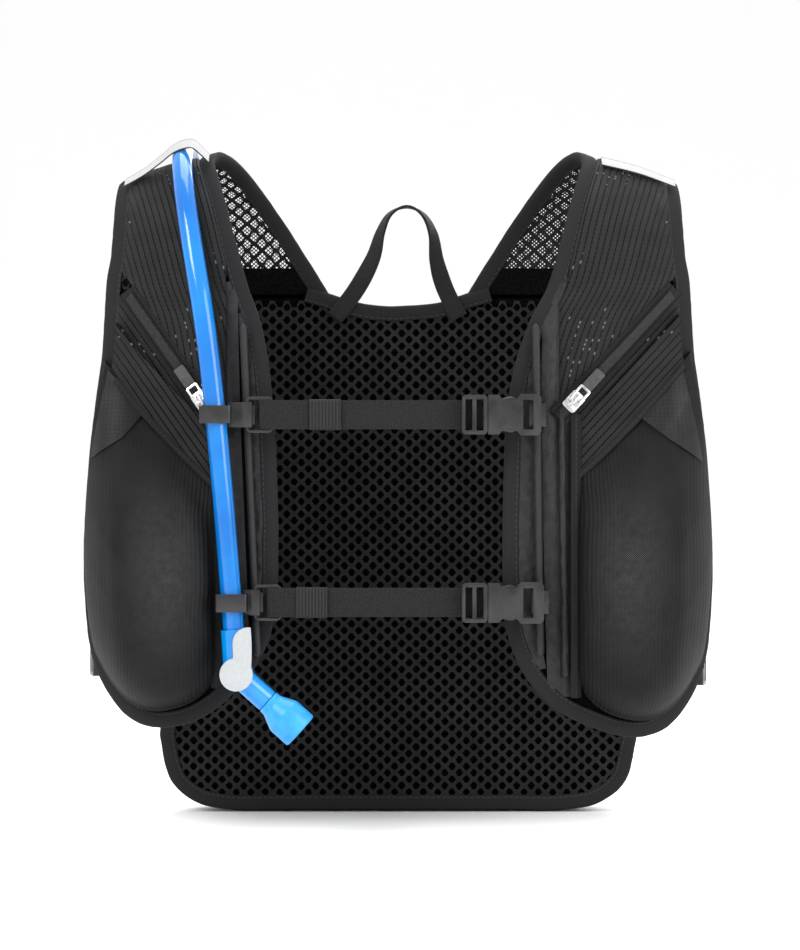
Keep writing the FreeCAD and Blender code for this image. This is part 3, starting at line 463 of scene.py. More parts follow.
knit_sheet = cloth("back_panel_knit", 40, 50, backing_spot, lambda u, v: (u * 260, v * 285), (0, -1, 0), 0.8)
dress(knit_sheet, backing, [])

# ---- Binding of the back panel -----------------------------------------------------------------------------
# Woven tape, 22 mm wide before it is folded over the rim, with one row of lock stitches 1.5 mm from its edge.
# It covers the cut edges of the mesh and of the pack's fabric.
TAPE_WIDE = 8.4


def weave_map(tree):
    """The sheet's own weave coordinates, in millimetres: along and across."""
    node = tree.nodes.new("ShaderNodeUVMap")
    split = tree.nodes.new("ShaderNodeSeparateXYZ")
    tree.links.new(node.outputs[0], split.inputs[0])
    return node.outputs[0], split.outputs[0], split.outputs[1]


def near(tree, value, middle, half_width):
    """1 where value lies within half_width of middle, else 0."""
    return calc(tree, "COMPARE", value, middle, half_width)


def stitch_row(tree, along, across, where, pitch=3.1, long=2.1, half_width=0.3):
    """1 on the threads of a row of stitches."""
    line = near(tree, across, where, half_width)
    return calc(tree, "MULTIPLY", line, calc(tree, "LESS_THAN", calc(tree, "PINGPONG", along, pitch / 2), long / 2))


tape_black, tree, shader = finish("binding", (0.02, 0.02, 0.021), 0.8, Specular_IOR_Level=0.1)
where, along, across = weave_map(tree)
twill = calc(tree, "SINE", calc(tree, "MULTIPLY", calc(tree, "ADD", along, calc(tree, "MULTIPLY", across, 0.7)), 9.5))
thread = stitch_row(tree, along, calc(tree, "ABSOLUTE", across), 7.1)
groove = near(tree, calc(tree, "ABSOLUTE", across), 7.1, 0.55)
fuzz = fog(tree, where, 2.2)
rough_cloth = calc(tree, "MULTIPLY_ADD", fuzz, 0.6, calc(tree, "MULTIPLY", twill, 0.12))
height = calc(tree, "ADD", calc(tree, "MULTIPLY_ADD", thread, 1.3, calc(tree, "MULTIPLY", rough_cloth, 0.35)),
              calc(tree, "MULTIPLY", groove, -0.8))
relief(tree, shader, height, 0.0005)
shade = calc(tree, "ADD", rough_cloth, calc(tree, "MULTIPLY", thread, 0.8))
put(tree, shader.inputs["Base Color"], tint(tree, shade, (0.012, 0.012, 0.013), (0.040, 0.040, 0.042), 0.1, 1.0))


def taped(name, rim, place, low, high, nodes, closed=False):
    """Binding tape folded over a rim: rim is a run of (spot, inward way) pairs; low and high are its two faces."""
    profile = [(TAPE_WIDE, high + 0.15), (TAPE_WIDE - 0.3, high + 0.8), (7.0, high + 0.95), (5, high + 1.15),
               (2, high + 1.05), (0.5, high + 0.3), (-0.1, high * 0.6 + low * 0.4), (-0.1, high * 0.4 + low * 0.6),
               (0.5, low - 0.3), (2, low - 1.0), (5, low - 1.1), (7.0, low - 0.9), (TAPE_WIDE, low - 0.1)]
    travel = [0.0]
    for (a, _), (b, _) in zip(rim, rim[1:]):
        travel.append(travel[-1] + (Vector(b) - Vector(a)).length)

    def spot_at(u, v):
        (sx, sz), (wx, wz) = rim[round(v * (len(rim) - 1))]
        inset, lift = profile[round(u * (len(profile) - 1))]
        pucker = 0.22 * noise.noise(Vector((sx / 5, sz / 5, inset / 9))) + 0.35 * noise.noise(Vector((sx / 17, sz / 17, 2)))
        inset = inset + pucker * 0.8
        return place(sx + wx * inset, sz + wz * inset, lift + (pucker if lift > low / 2 + high / 2 else -pucker))

    def weave_at(u, v):
        inset, lift = profile[round(u * (len(profile) - 1))]
        return travel[round(v * (len(rim) - 1))], inset if u < 0.5 else -inset

    piece = cloth(name, len(profile) - 1, len(rim) - 1, spot_at, weave_at, (0, -1, 0))
    edit((bpy.ops.mesh.normals_make_consistent, {"inside": False}))
    return dress(piece, tape_black, nodes, smooth=60)


def rim_ways(points, step, inward):
    """Even spots along an open run, each with the way that leads inwards."""
    dense = [Vector((p[0], p[1])) for p in points]
    travel = [0.0]
    for a, b in zip(dense, dense[1:]):
        travel.append(travel[-1] + (b - a).length)
    count = int(travel[-1] / step)
    spots = []
    for k in range(count + 1):
        s = travel[-1] * k / count
        i = min(max(bisect.bisect_right(travel, s), 1), len(dense) - 1)
        t = (s - travel[i - 1]) / max(travel[i] - travel[i - 1], 1e-9)
        spots.append(dense[i - 1].lerp(dense[i], min(t, 1.0)))
    rim = []
    for k, spot in enumerate(spots):
        way = spots[min(k + 2, count)] - spots[max(k - 2, 0)]
        way = Vector((-way.y, way.x)).normalized() * inward
        rim.append((tuple(spot), tuple(way)))
    return rim


def on_back(x, z, lift):
    return x, BACK_Y - lift, z


outer_half = [tuple(p) for p in smooth_line(BACK_FOOT) + smooth_line(BACK_SIDE)[1:]]
hem_run = [(-x, z) for x, z in reversed(outer_half[1:])] + outer_half
taped("back_hem_tape", rim_ways(hem_run, 2.4, 1), on_back, -5.0, 0.0, ["back_binding"])
neck_run = [tuple(p) for p in smooth_line([(50, 292), (38, 288.5), (22, 283.4), (0, 281.5), (-22, 283.4), (-38, 288.5),
                                           (-50, 292)])]
taped("back_neck_tape", rim_ways(neck_run, 2.4, 1), on_back, -6.0, 0.0, [])

# ---- Shoulder yokes and front panels -----------------------------------------------------------------------
# One strap on each side, cut from the same two-layer spacer mesh: it leaves the back panel, arches over the
# shoulder and hangs down the chest. Light comes through the open net and the fine net behind it.
YOKE_Z = 288.0
ARC = 1.13
PANEL_INNER = [(107, 56), (84, 70), (66, 95), (60, 125), (59.8, 180), (62.5, 228), (69.5, 264), (79, 288)]
PANEL_OUTER = [(150, 64), (164, 92), (168, 141), (164.5, 200), (157.5, 252), (155, 288)]
YOKE_INNER = [(88, -62), (95, -44), (98, -26), (94.5, -8), (85, 14), (72, 34), (56, 48)]
YOKE_OUTER = [(152, -35), (151, 0), (148, 30)]
SIDES = {"left": -1, "right": 1}
HANG = {"left": (3.0, 2.5), "right": (-5.0, -2.5)}


def front_y(x):
    return FRONT_Y + 46 * max(0.0, (abs(x) - 60) / 108) ** 2


def arch_height(x, y):
    """The strap's own height coordinate for a spot on the shoulder's arch."""
    front, back = front_y(x), 53.0
    share = ((front + back) / 2 - y) / ((back - front) / 2)
    return YOKE_Z + ARC * math.degrees(math.acos(max(-1.0, min(1.0, share))))


def on_strap(sign, x, h, lift=0.0):
    """A spot on a strap: x across, h up the chest and on over the arch, lift out from its outer face."""
    x = abs(x)
    if h <= YOKE_Z:
        return sign * x, front_y(x) - lift, h
    a = math.radians(min(180.0, (h - YOKE_Z) / ARC))
    middle, reach = (front_y(x) + 53) / 2, (53 - front_y(x)) / 2
    rise = 73 - 18 * max(0.0, x - 95) / 65
    return sign * x, middle - (reach + lift) * math.cos(a), YOKE_Z + (rise + lift) * math.sin(a)


def strap_edges(side):
    """The strap's inner and outer edges as tables of (h, x), from its foot to the back panel."""
    wide, high = HANG[side]

    def hung(x, z):
        fade = min(max((z - 235) / 53, 0.0), 1.0)
        return z + (high if z < 150 else 0), x + (wide * (1 - fade) if x < 90 else 0)

    foot = (52.5 + high, 131)
    inner = [hung(*PANEL_OUTER[0]), foot] + [hung(*p) for p in PANEL_INNER] + [(arch_height(*p), p[0]) for p in YOKE_INNER] + [(492, 38)]
    outer = [hung(*PANEL_INNER[0]), foot] + [hung(*p) for p in PANEL_OUTER] + [(arch_height(*p), p[0]) for p in YOKE_OUTER] + [(492, 141)]
    return [tuple(p) for p in smooth_line(inner)[16:]], [tuple(p) for p in smooth_line(outer)[16:]]


edges = {side: strap_edges(side) for side in SIDES}


def strap_net(side, name, low, high, lift, shift, out, hole, thick=0.9, cell=CELL):
    """A net over one strap between two heights, lift out from its face."""
    inner, outer = edges[side]
    sign = SIDES[side]

    def keep(x, h):
        foot = h - 4.4 if h < 90 else h
        return all(read(inner, k) + 4.2 < x < read(outer, k) - 4.2 for k in (h, foot)) and low < foot and h < high

    return net(name, 36 + shift, 172, 48 + shift, 494, keep, lambda x, h: on_strap(sign, x, h, lift), hole,
               thick, out, cell)


for side in SIDES:
    dress(strap_net(side, f"panel_net_{side}", 56, 292, -3.2, 0, (0, 1, 0), 2.2), mesh_black, [])
    piece = strap_net(side, f"yoke_net_outer_{side}", 286, 482, -0.3, 0.0, (0, 0, 1), 2.45)
    dress(piece, mesh_black, [f"shoulder_yoke_{side}"], smooth=60)
    piece = strap_net(side, f"yoke_net_inner_{side}", 300, 482, -2.9, 0.6, (0, 0, 1), 0.62 if side == "left" else 0.4,
                      0, (2.3, 2.0))
    dress(piece, mesh_black, [], smooth=60)


def strap_sheet(side, low, high, lift, inset=3.0):
    """A lay function for a sheet over a whole strap between two heights."""
    inner, outer = edges[side]

    def lay(u, v):
        h = low + (high - low) * v
        a, b = read(inner, h) + inset, read(outer, h) - inset
        return on_strap(SIDES[side], a + (b - a) * u, h, lift)
    return lay


for side in SIDES:
    piece = cloth(f"panel_knit_{side}", 24, 64, strap_sheet(side, 56, 303, -1.4), lambda u, v: (u * 95, v * 249),
                  (0, -1, 0), 1.2)
    dress(piece, backing, [f"front_panel_{side}"])
    dense = cloth(f"yoke_root_{side}", 24, 5, strap_sheet(side, 478, 491.9, -2.2), lambda u, v: (u * 100, v * 14),
                  (0, 1, 0), 1.0)
    dress(dense, backing, [])

# ---- Binding of the straps ---------------------------------------------------------------------------------
# The same folded tape runs in one length round each strap: up its inner edge, down its outer edge and round
# its foot. It holds the mesh, the lining and the pockets together.
for side in SIDES:
    inner, outer = edges[side]
    whole = [(x, h) for h, x in reversed(inner)] + [(x, h) for h, x in outer[1:]]
    sign = SIDES[side]
    taped(f"strap_tape_{side}", rim_ways(whole, 2.3, 1), lambda x, h, lift, s=sign: on_strap(s, x, h, lift), -3.5,
          0.0, [f"panel_binding_{side}"])

# ---- Chest pockets -----------------------------------------------------------------------------------------
# Stretch fabric quilted in narrow ribs by rows of tiny eyelets. One piece goes from the shoulder label down to
# the zip, its ribs beside the neck edge; a second one lies below the zip, its ribs along the hem.
RIB = 3.3
ZIP_ENDS = {"left": ((90, 209), (143, 283)), "right": ((85, 219), (146, 284))}
HEM = {"left": [(88, 173), (100.4, 185.8), (118, 203), (133.7, 219.6), (154, 243), (162, 253)],
       "right": [(84, 176), (93.6, 185.8), (110, 201), (124.8, 216), (146.6, 240), (160, 255)]}
CHEST_TOP = YOKE_Z + ARC * 72

ribbed, tree, shader = finish("ribbed_fabric", (0.02, 0.02, 0.021), 0.62, Specular_IOR_Level=0.12)
where, along, across = weave_map(tree)
rib = calc(tree, "PINGPONG", along, RIB / 2)
crease = calc(tree, "SUBTRACT", 1.0, calc(tree, "MULTIPLY", calc(tree, "SMOOTH_MIN", rib, 0.45, 0.2), 2.2))
eyelet = calc(tree, "MULTIPLY", calc(tree, "LESS_THAN", rib, 0.36),
              calc(tree, "LESS_THAN", calc(tree, "PINGPONG", across, 1.15), 0.62))
cells = tree.nodes.new("ShaderNodeTexWhiteNoise")
cells.noise_dimensions = "2D"
rounded_place = tree.nodes.new("ShaderNodeCombineXYZ")
put(tree, rounded_place.inputs[0], calc(tree, "ROUND", calc(tree, "DIVIDE", along, RIB)))
put(tree, rounded_place.inputs[1], calc(tree, "ROUND", calc(tree, "DIVIDE", across, 2.3)))
tree.links.new(rounded_place.outputs[0], cells.inputs["Vector"])
patch = fog(tree, where, 0.022, 1.0)
speck = calc(tree, "MULTIPLY", eyelet, calc(tree, "GREATER_THAN",
                                            calc(tree, "MULTIPLY", cells.outputs[0], patch), 0.52))
yarn = fog(tree, where, 3.4, 2.0)
cloud = fog(tree, where, 0.06, 2.0)
body = calc(tree, "ADD", calc(tree, "MULTIPLY", yarn, 0.5), calc(tree, "MULTIPLY", cloud, 0.5))
body = calc(tree, "SUBTRACT", body, calc(tree, "MULTIPLY", eyelet, 0.9))
# Painted shade: each rib's crease line is darkened a little, standing in for the shade that falls into the creases.
body = calc(tree, "SUBTRACT", body, calc(tree, "MULTIPLY", crease, 0.06))
colour = tint(tree, body, (0.002, 0.002, 0.002), (0.032, 0.032, 0.0325), 0.0, 0.9)
blend = tree.nodes.new("ShaderNodeMix")
blend.data_type = "RGBA"
put(tree, blend.inputs["Factor"], speck)
put(tree, blend.inputs["A"], colour)
blend.inputs["B"].default_value = (0.22, 0.22, 0.22, 1)
put(tree, shader.inputs["Base Color"], blend.outputs["Result"])
relief(tree, shader, calc(tree, "SUBTRACT", calc(tree, "MULTIPLY", yarn, 0.35), crease), 0.00075)


FLASK_PLAN = [tuple(p) for p in smooth_line([(94.8, -72.5), (97.5, -86), (104, -95.5), (113, -101.5), (127, -105.4),
                                              (143, -99), (152, -87), (158, -75), (163, -61), (166, -48), (168, -30)])]
FLASK_FOOT = {side: [tuple(p) for p in smooth_line([(94.5, 84 + d), (98.5, 76 + d), (106, 69 + d), (116, 64.5 + d),
                                                     (128, 62.5 + d), (139, 65 + d), (148, 72 + d), (156, 83 + d),
                                                     (163, 99 + d), (167.2, 141)])]
              for side, (_, d) in HANG.items()}
FLASK_RISE = [tuple(p) for p in smooth_line([(0, 0.06), (3, 0.28), (8, 0.52), (17, 0.76), (30, 0.92), (48, 1.0)])]
FLASK_DRAWN = [tuple(p) for p in smooth_line([(0, 0.14), (12, 0.32), (22, 0.49), (36, 0.68), (52, 0.84), (85, 1.0)])]


def flask_swell(side, x, z):
    """How far the filled flask pocket stands out from the panel at a spot."""
    x = abs(x)
    out = front_y(x) - read(FLASK_PLAN, x)
    return max(out, 0.0) * read(FLASK_RISE, z - read(FLASK_FOOT[side], x)) * read(FLASK_DRAWN, read(HEM[side], x) - z)


def zip_side(side, x):
    """The height of the zip's line at x."""
    (x0, z0), (x1, z1) = ZIP_ENDS[side]
    return z0 + (z1 - z0) * (x - x0) / (x1 - x0)


def chest_in(side, h):
    """Inner edge of the chest fabric: beside the lining below the shoulder, under the binding above it."""
    inner, _ = edges[side]
    low = 84.0 if side == "right" else 89.5
    return max(min(read(inner, h) + 8.0, 200), low if h < 276 else 0) if h < 276 else \
        read(inner, h) + 8.0 + max(0.0, low - read(inner, 276) - 8.0) * max(0.0, 1 - (h - 276) / 20)


def chest_upper(side):
    """Lay and weave functions of the piece above the zip."""
    inner, outer = edges[side]
    sign = SIDES[side]

    def spot(u, v):
        h = CHEST_TOP
        for _ in range(12):
            a, b = chest_in(side, h), read(outer, h) - 7.5
            x = a + (b - a) * u
            low = min(zip_side(side, x) + 8.2, 297.0)
            h = low + (CHEST_TOP - low) * v
        return x, h

    def lay(u, v):
        x, h = spot(u, v)
        seam = min(x - chest_in(side, h), read(outer, h) - 7.5 - x, 6.0) / 6.0
        tuck = min((h - zip_side(side, x) - 8.2) / 4.0, 1.0) if h < 297 else 1.0
        puff = 0.6 * noise.noise(Vector((x / 22, h / 30, 4))) + 0.35 * noise.noise(Vector((x / 9, h / 16, 9)))
        return on_strap(sign, x, h, 1.3 + 2.6 * max(0.0, seam) ** 0.5 * (0.65 + 0.35 * max(tuck, 0)) + puff * seam)

    def weave(u, v):
        x, h = spot(u, v)
        return x - read(inner, h), h

    return lay, weave


def chest_lower(side):
    """Lay and weave functions of the band between the zip and the hem."""
    inner, outer = edges[side]
    sign = SIDES[side]
    (x0, z0), (x1, z1) = ZIP_ENDS[side]
    slope = math.atan2(z1 - z0, x1 - x0)

    def spot(u, v):
        h = 230.0
        for _ in range(12):
            a = (91.0 if side == "right" else 93.0)
            b = read(outer, h) - 7.5
            x = a + (b - a) * u
            low, high = read(HEM[side], x), min(zip_side(side, x) - 8.2, 292.0)
            h = low + (high - low) * v
        return x, h

    def lay(u, v):
        x, h = spot(u, v)
        hem = h - read(HEM[side], x)
        over = flask_swell(side, x, h - 1.5) + 1.5
        puff = 0.5 * noise.noise(Vector((x / 18, h / 18, 7)))
        edge = min(min(x - (91.0 if side == "right" else 93.0), read(outer, h) - 7.5 - x) / 5.0, 1.0)
        tuck = min((zip_side(side, x) - 8.2 - h) / 4.0, 1.0)
        body = 1.3 + 2.4 * max(edge, 0.0) ** 0.5 * (0.6 + 0.4 * max(tuck, 0.0)) + puff * 0.6
        return on_strap(sign, x, h, max(body, min(over, body + 9.0) if hem < 30 else 0))

    def weave(u, v):
        x, h = spot(u, v)
        return (h - z0) * math.cos(slope) - (x - x0) * math.sin(slope), x * math.cos(slope) + h * math.sin(slope)

    return lay, weave


hem_black, tree, shader = finish("stitched_hem", (0.02, 0.02, 0.021), 0.68, Specular_IOR_Level=0.12)
where, along, across = weave_map(tree)
thread = stitch_row(tree, along, across, 0.0, 2.9, 2.0, 0.26)
yarn = fog(tree, where, 3.0, 2.0)
height = calc(tree, "ADD", calc(tree, "MULTIPLY", yarn, 0.4), calc(tree, "SUBTRACT", calc(tree, "MULTIPLY", thread, 1.2),
                                                                  near(tree, across, 0.0, 0.5)))
relief(tree, shader, height, 0.0004)
shade = calc(tree, "ADD", calc(tree, "MULTIPLY", yarn, 0.6), calc(tree, "MULTIPLY", thread, 0.8))
put(tree, shader.inputs["Base Color"], tint(tree, shade, (0.009, 0.009, 0.009), (0.034, 0.034, 0.035), 0.1, 1.2))


def strip_along(name, run, place, wide, lift, thick, crown, nodes, material, out=(0, -1, 0), wrinkle=0.0):
    """A narrow band centred on a run of (x, h) spots: crown is how far its middle stands above its edges."""
    dense = [Vector(p) for p in run]
    travel = [0.0]
    for a, b in zip(dense, dense[1:]):
        travel.append(travel[-1] + (b - a).length)
    last = len(dense) - 1

    def spot(u, v):
        i = round(v * last)
        way = (dense[min(i + 1, last)] - dense[max(i - 1, 0)]).normalized()
        t = 2 * u - 1
        pucker = wrinkle * noise.noise(Vector((travel[i] / 5.5, t * 1.3, wide))) \
            + 0.6 * wrinkle * noise.noise(Vector((travel[i] / 2.6 + t * 1.5, t, wide * 2)))
        x = dense[i].x - way.y * t * wide / 2
        h = dense[i].y + way.x * t * wide / 2
        return place(x, h, lift + crown * (1 - t * t) + pucker * (1 - t * t * 0.6))

    piece = cloth(name, 8, last, spot, lambda u, v: (travel[round(v * last)], (u - 0.5) * wide), out, thick)
    return dress(piece, material, nodes)


def even_run(points, step):
    return [spot for spot, _ in rim_ways([tuple(p) for p in points], step, 1)]


for side, sign in SIDES.items():
    lay, weave = chest_upper(side)
    upper = cloth(f"chest_fabric_{side}", 60, 96, lay, weave, (0, -1, 0), 0.7)
    dress(upper, ribbed, [f"chest_pocket_{side}"])
    lay, weave = chest_lower(side)
    lower = cloth(f"chest_band_{side}", 60, 36, lay, weave, (0, -1, 0), 0.7)
    dress(lower, ribbed, [])
    hem_x0 = 91.5 if side == "right" else 93.5
    hem = even_run([(x, read(HEM[side], x) + 0.6) for x in range(int(hem_x0), 152, 4)], 1.6)
    strip_along(f"chest_hem_{side}", hem,
                lambda x, h, lift, s=sign, n=side: on_strap(s, x, h, max(flask_swell(n, x, h - 2.1) + 1.9, 4.2) + lift),
                3.0, 0.1, 0.5, 0.35, [], hem_black)

# ---- Flask pockets -----------------------------------------------------------------------------------------
# Fine two-way stretch mesh, bulging as over a half-filled flask. It is sewn to the panel round its foot and
# sides with a row of stitches, and runs up under the hem of the chest pocket.
knit_mesh, tree, shader = finish("stretch_mesh", (0.02, 0.02, 0.021), 0.66, Specular_IOR_Level=0.12)
where, along, across = weave_map(tree)
drift = calc(tree, "MULTIPLY", fog(tree, where, 0.02, 1.0), 7.0)
wale = calc(tree, "SINE", calc(tree, "MULTIPLY", calc(tree, "ADD", along, drift), 3.1))
near_seam = calc(tree, "SUBTRACT", 1.0, calc(tree, "MINIMUM", calc(tree, "DIVIDE", along, 34.0), 0.75))
wale = calc(tree, "MULTIPLY", wale, near_seam)
fine_u = calc(tree, "SINE", calc(tree, "MULTIPLY", along, 5.7))
fine_v = calc(tree, "SINE", calc(tree, "MULTIPLY", across, 5.7))
holes = calc(tree, "MULTIPLY", fine_u, fine_v)
# Painted highlight: pale specks in the mesh's holes, brightest round one spot on the bulge, stand in for light glinting
# off the bulging mesh.
highlight_spot = tree.nodes.new("ShaderNodeTexGradient")
highlight_spot.gradient_type = "SPHERICAL"
centre = tree.nodes.new("ShaderNodeMapping")
centre.vector_type = "POINT"
centre.inputs["Location"].default_value = (-24 / 26, -78 / 62, 0)
centre.inputs["Scale"].default_value = (1 / 26, 1 / 62, 1)
tree.links.new(where, centre.inputs["Vector"])
tree.links.new(centre.outputs[0], highlight_spot.inputs["Vector"])
glint = calc(tree, "MULTIPLY", highlight_spot.outputs["Fac"], calc(tree, "MULTIPLY", fog(tree, where, 0.25, 2.0), 1.3))
speck = calc(tree, "MULTIPLY", calc(tree, "GREATER_THAN", holes, 0.3), glint)
cloud = calc(tree, "MULTIPLY", fog(tree, where, 0.06, 2.0), 0.35)
body = calc(tree, "ADD", calc(tree, "MULTIPLY_ADD", wale, 0.13, calc(tree, "MULTIPLY", holes, 0.09)),
            calc(tree, "ADD", cloud, 0.22))
blend = tree.nodes.new("ShaderNodeMix")
blend.data_type = "RGBA"
put(tree, blend.inputs["Factor"], speck)
put(tree, blend.inputs["A"], tint(tree, body, (0.002, 0.002, 0.002), (0.026, 0.026, 0.0265), 0.05, 1.0))
# Pale grey of the painted highlight specks.
blend.inputs["B"].default_value = (0.13, 0.13, 0.13, 1)
put(tree, shader.inputs["Base Color"], blend.outputs["Result"])
relief(tree, shader, calc(tree, "MULTIPLY_ADD", wale, 0.6, calc(tree, "MULTIPLY", holes, 0.3)), 0.0004)


def flask_spot(side, u, v):
    """Where a spot of the flask pocket lies on the panel, (x, z)."""
    x = 94.2 + u * 73
    for _ in range(8):
        foot = read(FLASK_FOOT[side], x) - 1.5
        z = foot + (read(HEM[side], x) + 3.0 - foot) * v
        rim = read([(141, 167.2), (200, 162.4), (250, 155.5)], z)
        x = 94.2 + u * (rim - 94.2)
    return x, z


for side, sign in SIDES.items():
    def pocket_lay(u, v, side=side, sign=sign):
        x, z = flask_spot(side, u, v)
        swell = flask_swell(side, x, z)
        slack = 0.8 * noise.noise(Vector((x / 14, z / 40, 3 + sign))) + 0.5 * noise.noise(Vector((x / 30, z / 13, 6)))
        rim = min(u, 1 - u, v + 0.02, 0.12) / 0.12
        return sign * x, front_y(x) - 1.6 - swell * (1 if 0 < u < 1 else 0) - slack * rim * min(swell / 8, 1.0), z

    pocket = cloth(f"flask_mesh_{side}", 64, 84, pocket_lay,
                   lambda u, v, n=side: ((flask_spot(n, u, v)[0] - 94), flask_spot(n, u, v)[1] - 60), (0, -1, 0), 0.6)
    dress(pocket, knit_mesh, [f"flask_pocket_{side}"])
    seam_x = 92.6 if side == "right" else 94.6
    low = 74 + HANG[side][1]
    run = even_run([(seam_x, 219 if side == "right" else 200), (seam_x, 150), (seam_x, low)], 1.6)
    strip_along(f"pocket_seam_{side}", run, lambda x, h, lift, s=sign: on_strap(s, x, h, lift), 5.6, 4.0, 0.7, 1.3,
                [], hem_black, wrinkle=0.25)

# ---- Pocket flaps ------------------------------------------------------------------------------------------
# Small triangles of ripstop nylon, a plain weave with a heavier thread every 2.2 mm both ways. Each is caught
# under the chest hem and the side binding, and lies loose over the outer corner of the flask pocket.
ripstop, tree, shader = finish("ripstop", (0.02, 0.02, 0.021), 0.5, Specular_IOR_Level=0.2)
where, along, across = weave_map(tree)
grid = calc(tree, "MAXIMUM", calc(tree, "LESS_THAN", calc(tree, "PINGPONG", along, 1.1), 0.13),
            calc(tree, "LESS_THAN", calc(tree, "PINGPONG", across, 1.1), 0.13))
fold = fog(tree, where, 0.09, 2.0)
yarn = fog(tree, where, 4.0, 1.0)
# Painted light and shade: broad patches of lighter and darker colour, named fold, stand in for the shading of folds in
# the cloth.
body = calc(tree, "MULTIPLY_ADD", fold, 0.5, calc(tree, "MULTIPLY_ADD", yarn, 0.25, calc(tree, "MULTIPLY", grid, -0.16)))
put(tree, shader.inputs["Base Color"], tint(tree, body, (0.005, 0.005, 0.005), (0.028, 0.028, 0.0285), 0.1, 0.75))
relief(tree, shader, calc(tree, "MULTIPLY_ADD", grid, 0.5, calc(tree, "MULTIPLY", yarn, 0.3)), 0.0002)
FLAP = {"left": ((153, 243), (133.2, 220), (143, 207), (160.5, 196)),
        "right": ((150, 243), (126.4, 217.5), (141, 205.6), (158.5, 194))}
for side, sign in SIDES.items():
    a, b, c, d = (Vector(p) for p in FLAP[side])

    def flap_spot(u, v):
        top = a.lerp(b, u)
        foot = d.lerp(c, u * 2) if u < 0.5 else c.lerp(b, u * 2 - 1)
        return top.lerp(foot, v)

    def flap_lay(u, v, side=side, sign=sign):
        x, z = flap_spot(u, v)
        billow = 1.6 * math.sin(math.pi * min(v, 1.0)) * math.sin(math.pi * u) + 0.7 * noise.noise(Vector((x / 9, z / 9, 1)))
        return sign * x, front_y(x) - flask_swell(side, x, z) - 3.0 - max(billow, -0.6), z

    piece = cloth(f"flap_{side}", 24, 24, flap_lay, lambda u, v: tuple(flap_spot(u, v)), (0, -1, 0), 0.5)
    dress(piece, ripstop, ["pocket_flaps"] if side == "right" else [])

# ---- Zips --------------------------------------------------------------------------------------------------
# Nylon coil zips on woven tape, sewn across each chest pocket and along the back of the pack. Each slider is
# plated zinc, with a wire frame on its bridge and a dark rubber grip moulded on the frame's end.
zip_tape, tree, shader = finish("zip_tape", (0.02, 0.02, 0.021), 0.7, Specular_IOR_Level=0.15)
where, along, across = weave_map(tree)
pick = calc(tree, "SINE", calc(tree, "MULTIPLY", calc(tree, "ADD", along, calc(tree, "ABSOLUTE", across)), 6.6))
edge = near(tree, calc(tree, "ABSOLUTE", across), 3.4, 0.35)
body = calc(tree, "MULTIPLY_ADD", pick, 0.22, calc(tree, "MULTIPLY", fog(tree, where, 2.0), 0.8))
put(tree, shader.inputs["Base Color"], tint(tree, calc(tree, "SUBTRACT", body, calc(tree, "MULTIPLY", edge, 0.5)),
                                           (0.008, 0.008, 0.008), (0.040, 0.040, 0.042), 0.0, 0.9))
relief(tree, shader, calc(tree, "SUBTRACT", pick, edge), 0.0003)
coil_black, tree, shader = finish("zip_coil", (0.02, 0.02, 0.02), 0.45, Specular_IOR_Level=0.3)
put(tree, shader.inputs["Base Color"], tint(tree, fog(tree, own_place(tree), 700.0), (0.02, 0.02, 0.02),
                                           (0.045, 0.045, 0.046)))
plated, tree, shader = finish("zip_metal", (0.72, 0.72, 0.72), 0.24, Metallic=1.0)
scuff = fog(tree, own_place(tree), 420.0)
put(tree, shader.inputs["Roughness"], calc(tree, "MULTIPLY_ADD", scuff, 0.3, 0.12))
put(tree, shader.inputs["Base Color"], tint(tree, scuff, (0.48, 0.48, 0.48), (0.82, 0.82, 0.82)))
relief(tree, shader, scuff, 0.00005)
grip_rubber, tree, shader = finish("grip_rubber", (0.045, 0.045, 0.046), 0.55, Specular_IOR_Level=0.35)
spot = own_place(tree)
put(tree, shader.inputs["Base Color"], tint(tree, fog(tree, spot, 500.0), (0.035, 0.035, 0.036), (0.06, 0.06, 0.061)))
relief(tree, shader, fog(tree, spot, 1500.0), 0.00008)


def coil(name, count, place):
    """Rows of coil: place(s, t, lift) takes millimetres along, across and out."""
    bpy.ops.object.select_all(action="DESELECT")
    bpy.ops.mesh.primitive_cylinder_add(vertices=8, radius=0.42, depth=4.4, rotation=(math.radians(90), 0, 0))
    piece = bpy.context.object
    piece.name = piece.data.name = name
    bpy.ops.object.transform_apply(location=True, rotation=True, scale=True)
    turns = piece.modifiers.new("turns", "ARRAY")
    turns.count = count
    turns.use_relative_offset = False
    turns.use_constant_offset = True
    turns.constant_offset_displace = (1.05, 0, 0)
    bpy.ops.object.modifier_apply(modifier="turns")
    for v in piece.data.vertices:
        v.co = Vector(place(v.co.x + 0.22 * v.co.y, v.co.y, 0.45 + v.co.z)) / 1000
    edit((bpy.ops.mesh.normals_make_consistent, {"inside": False}))
    return dress(piece, coil_black, [], smooth=60)


def dress_pull(node, way):
    """A pull with a metal frame and a rubber grip; way leads from its hinge to its end."""
    pull = moulded(node, plated, 0.25)
    pull.data.materials.append(grip_rubber)
    reach = [v.co.dot(way) for v in pull.data.vertices]
    near_end = min(reach) + 0.0108
    for face in pull.data.polygons:
        face.material_index = 1 if face.center.dot(way) > near_end else 0
    return pull


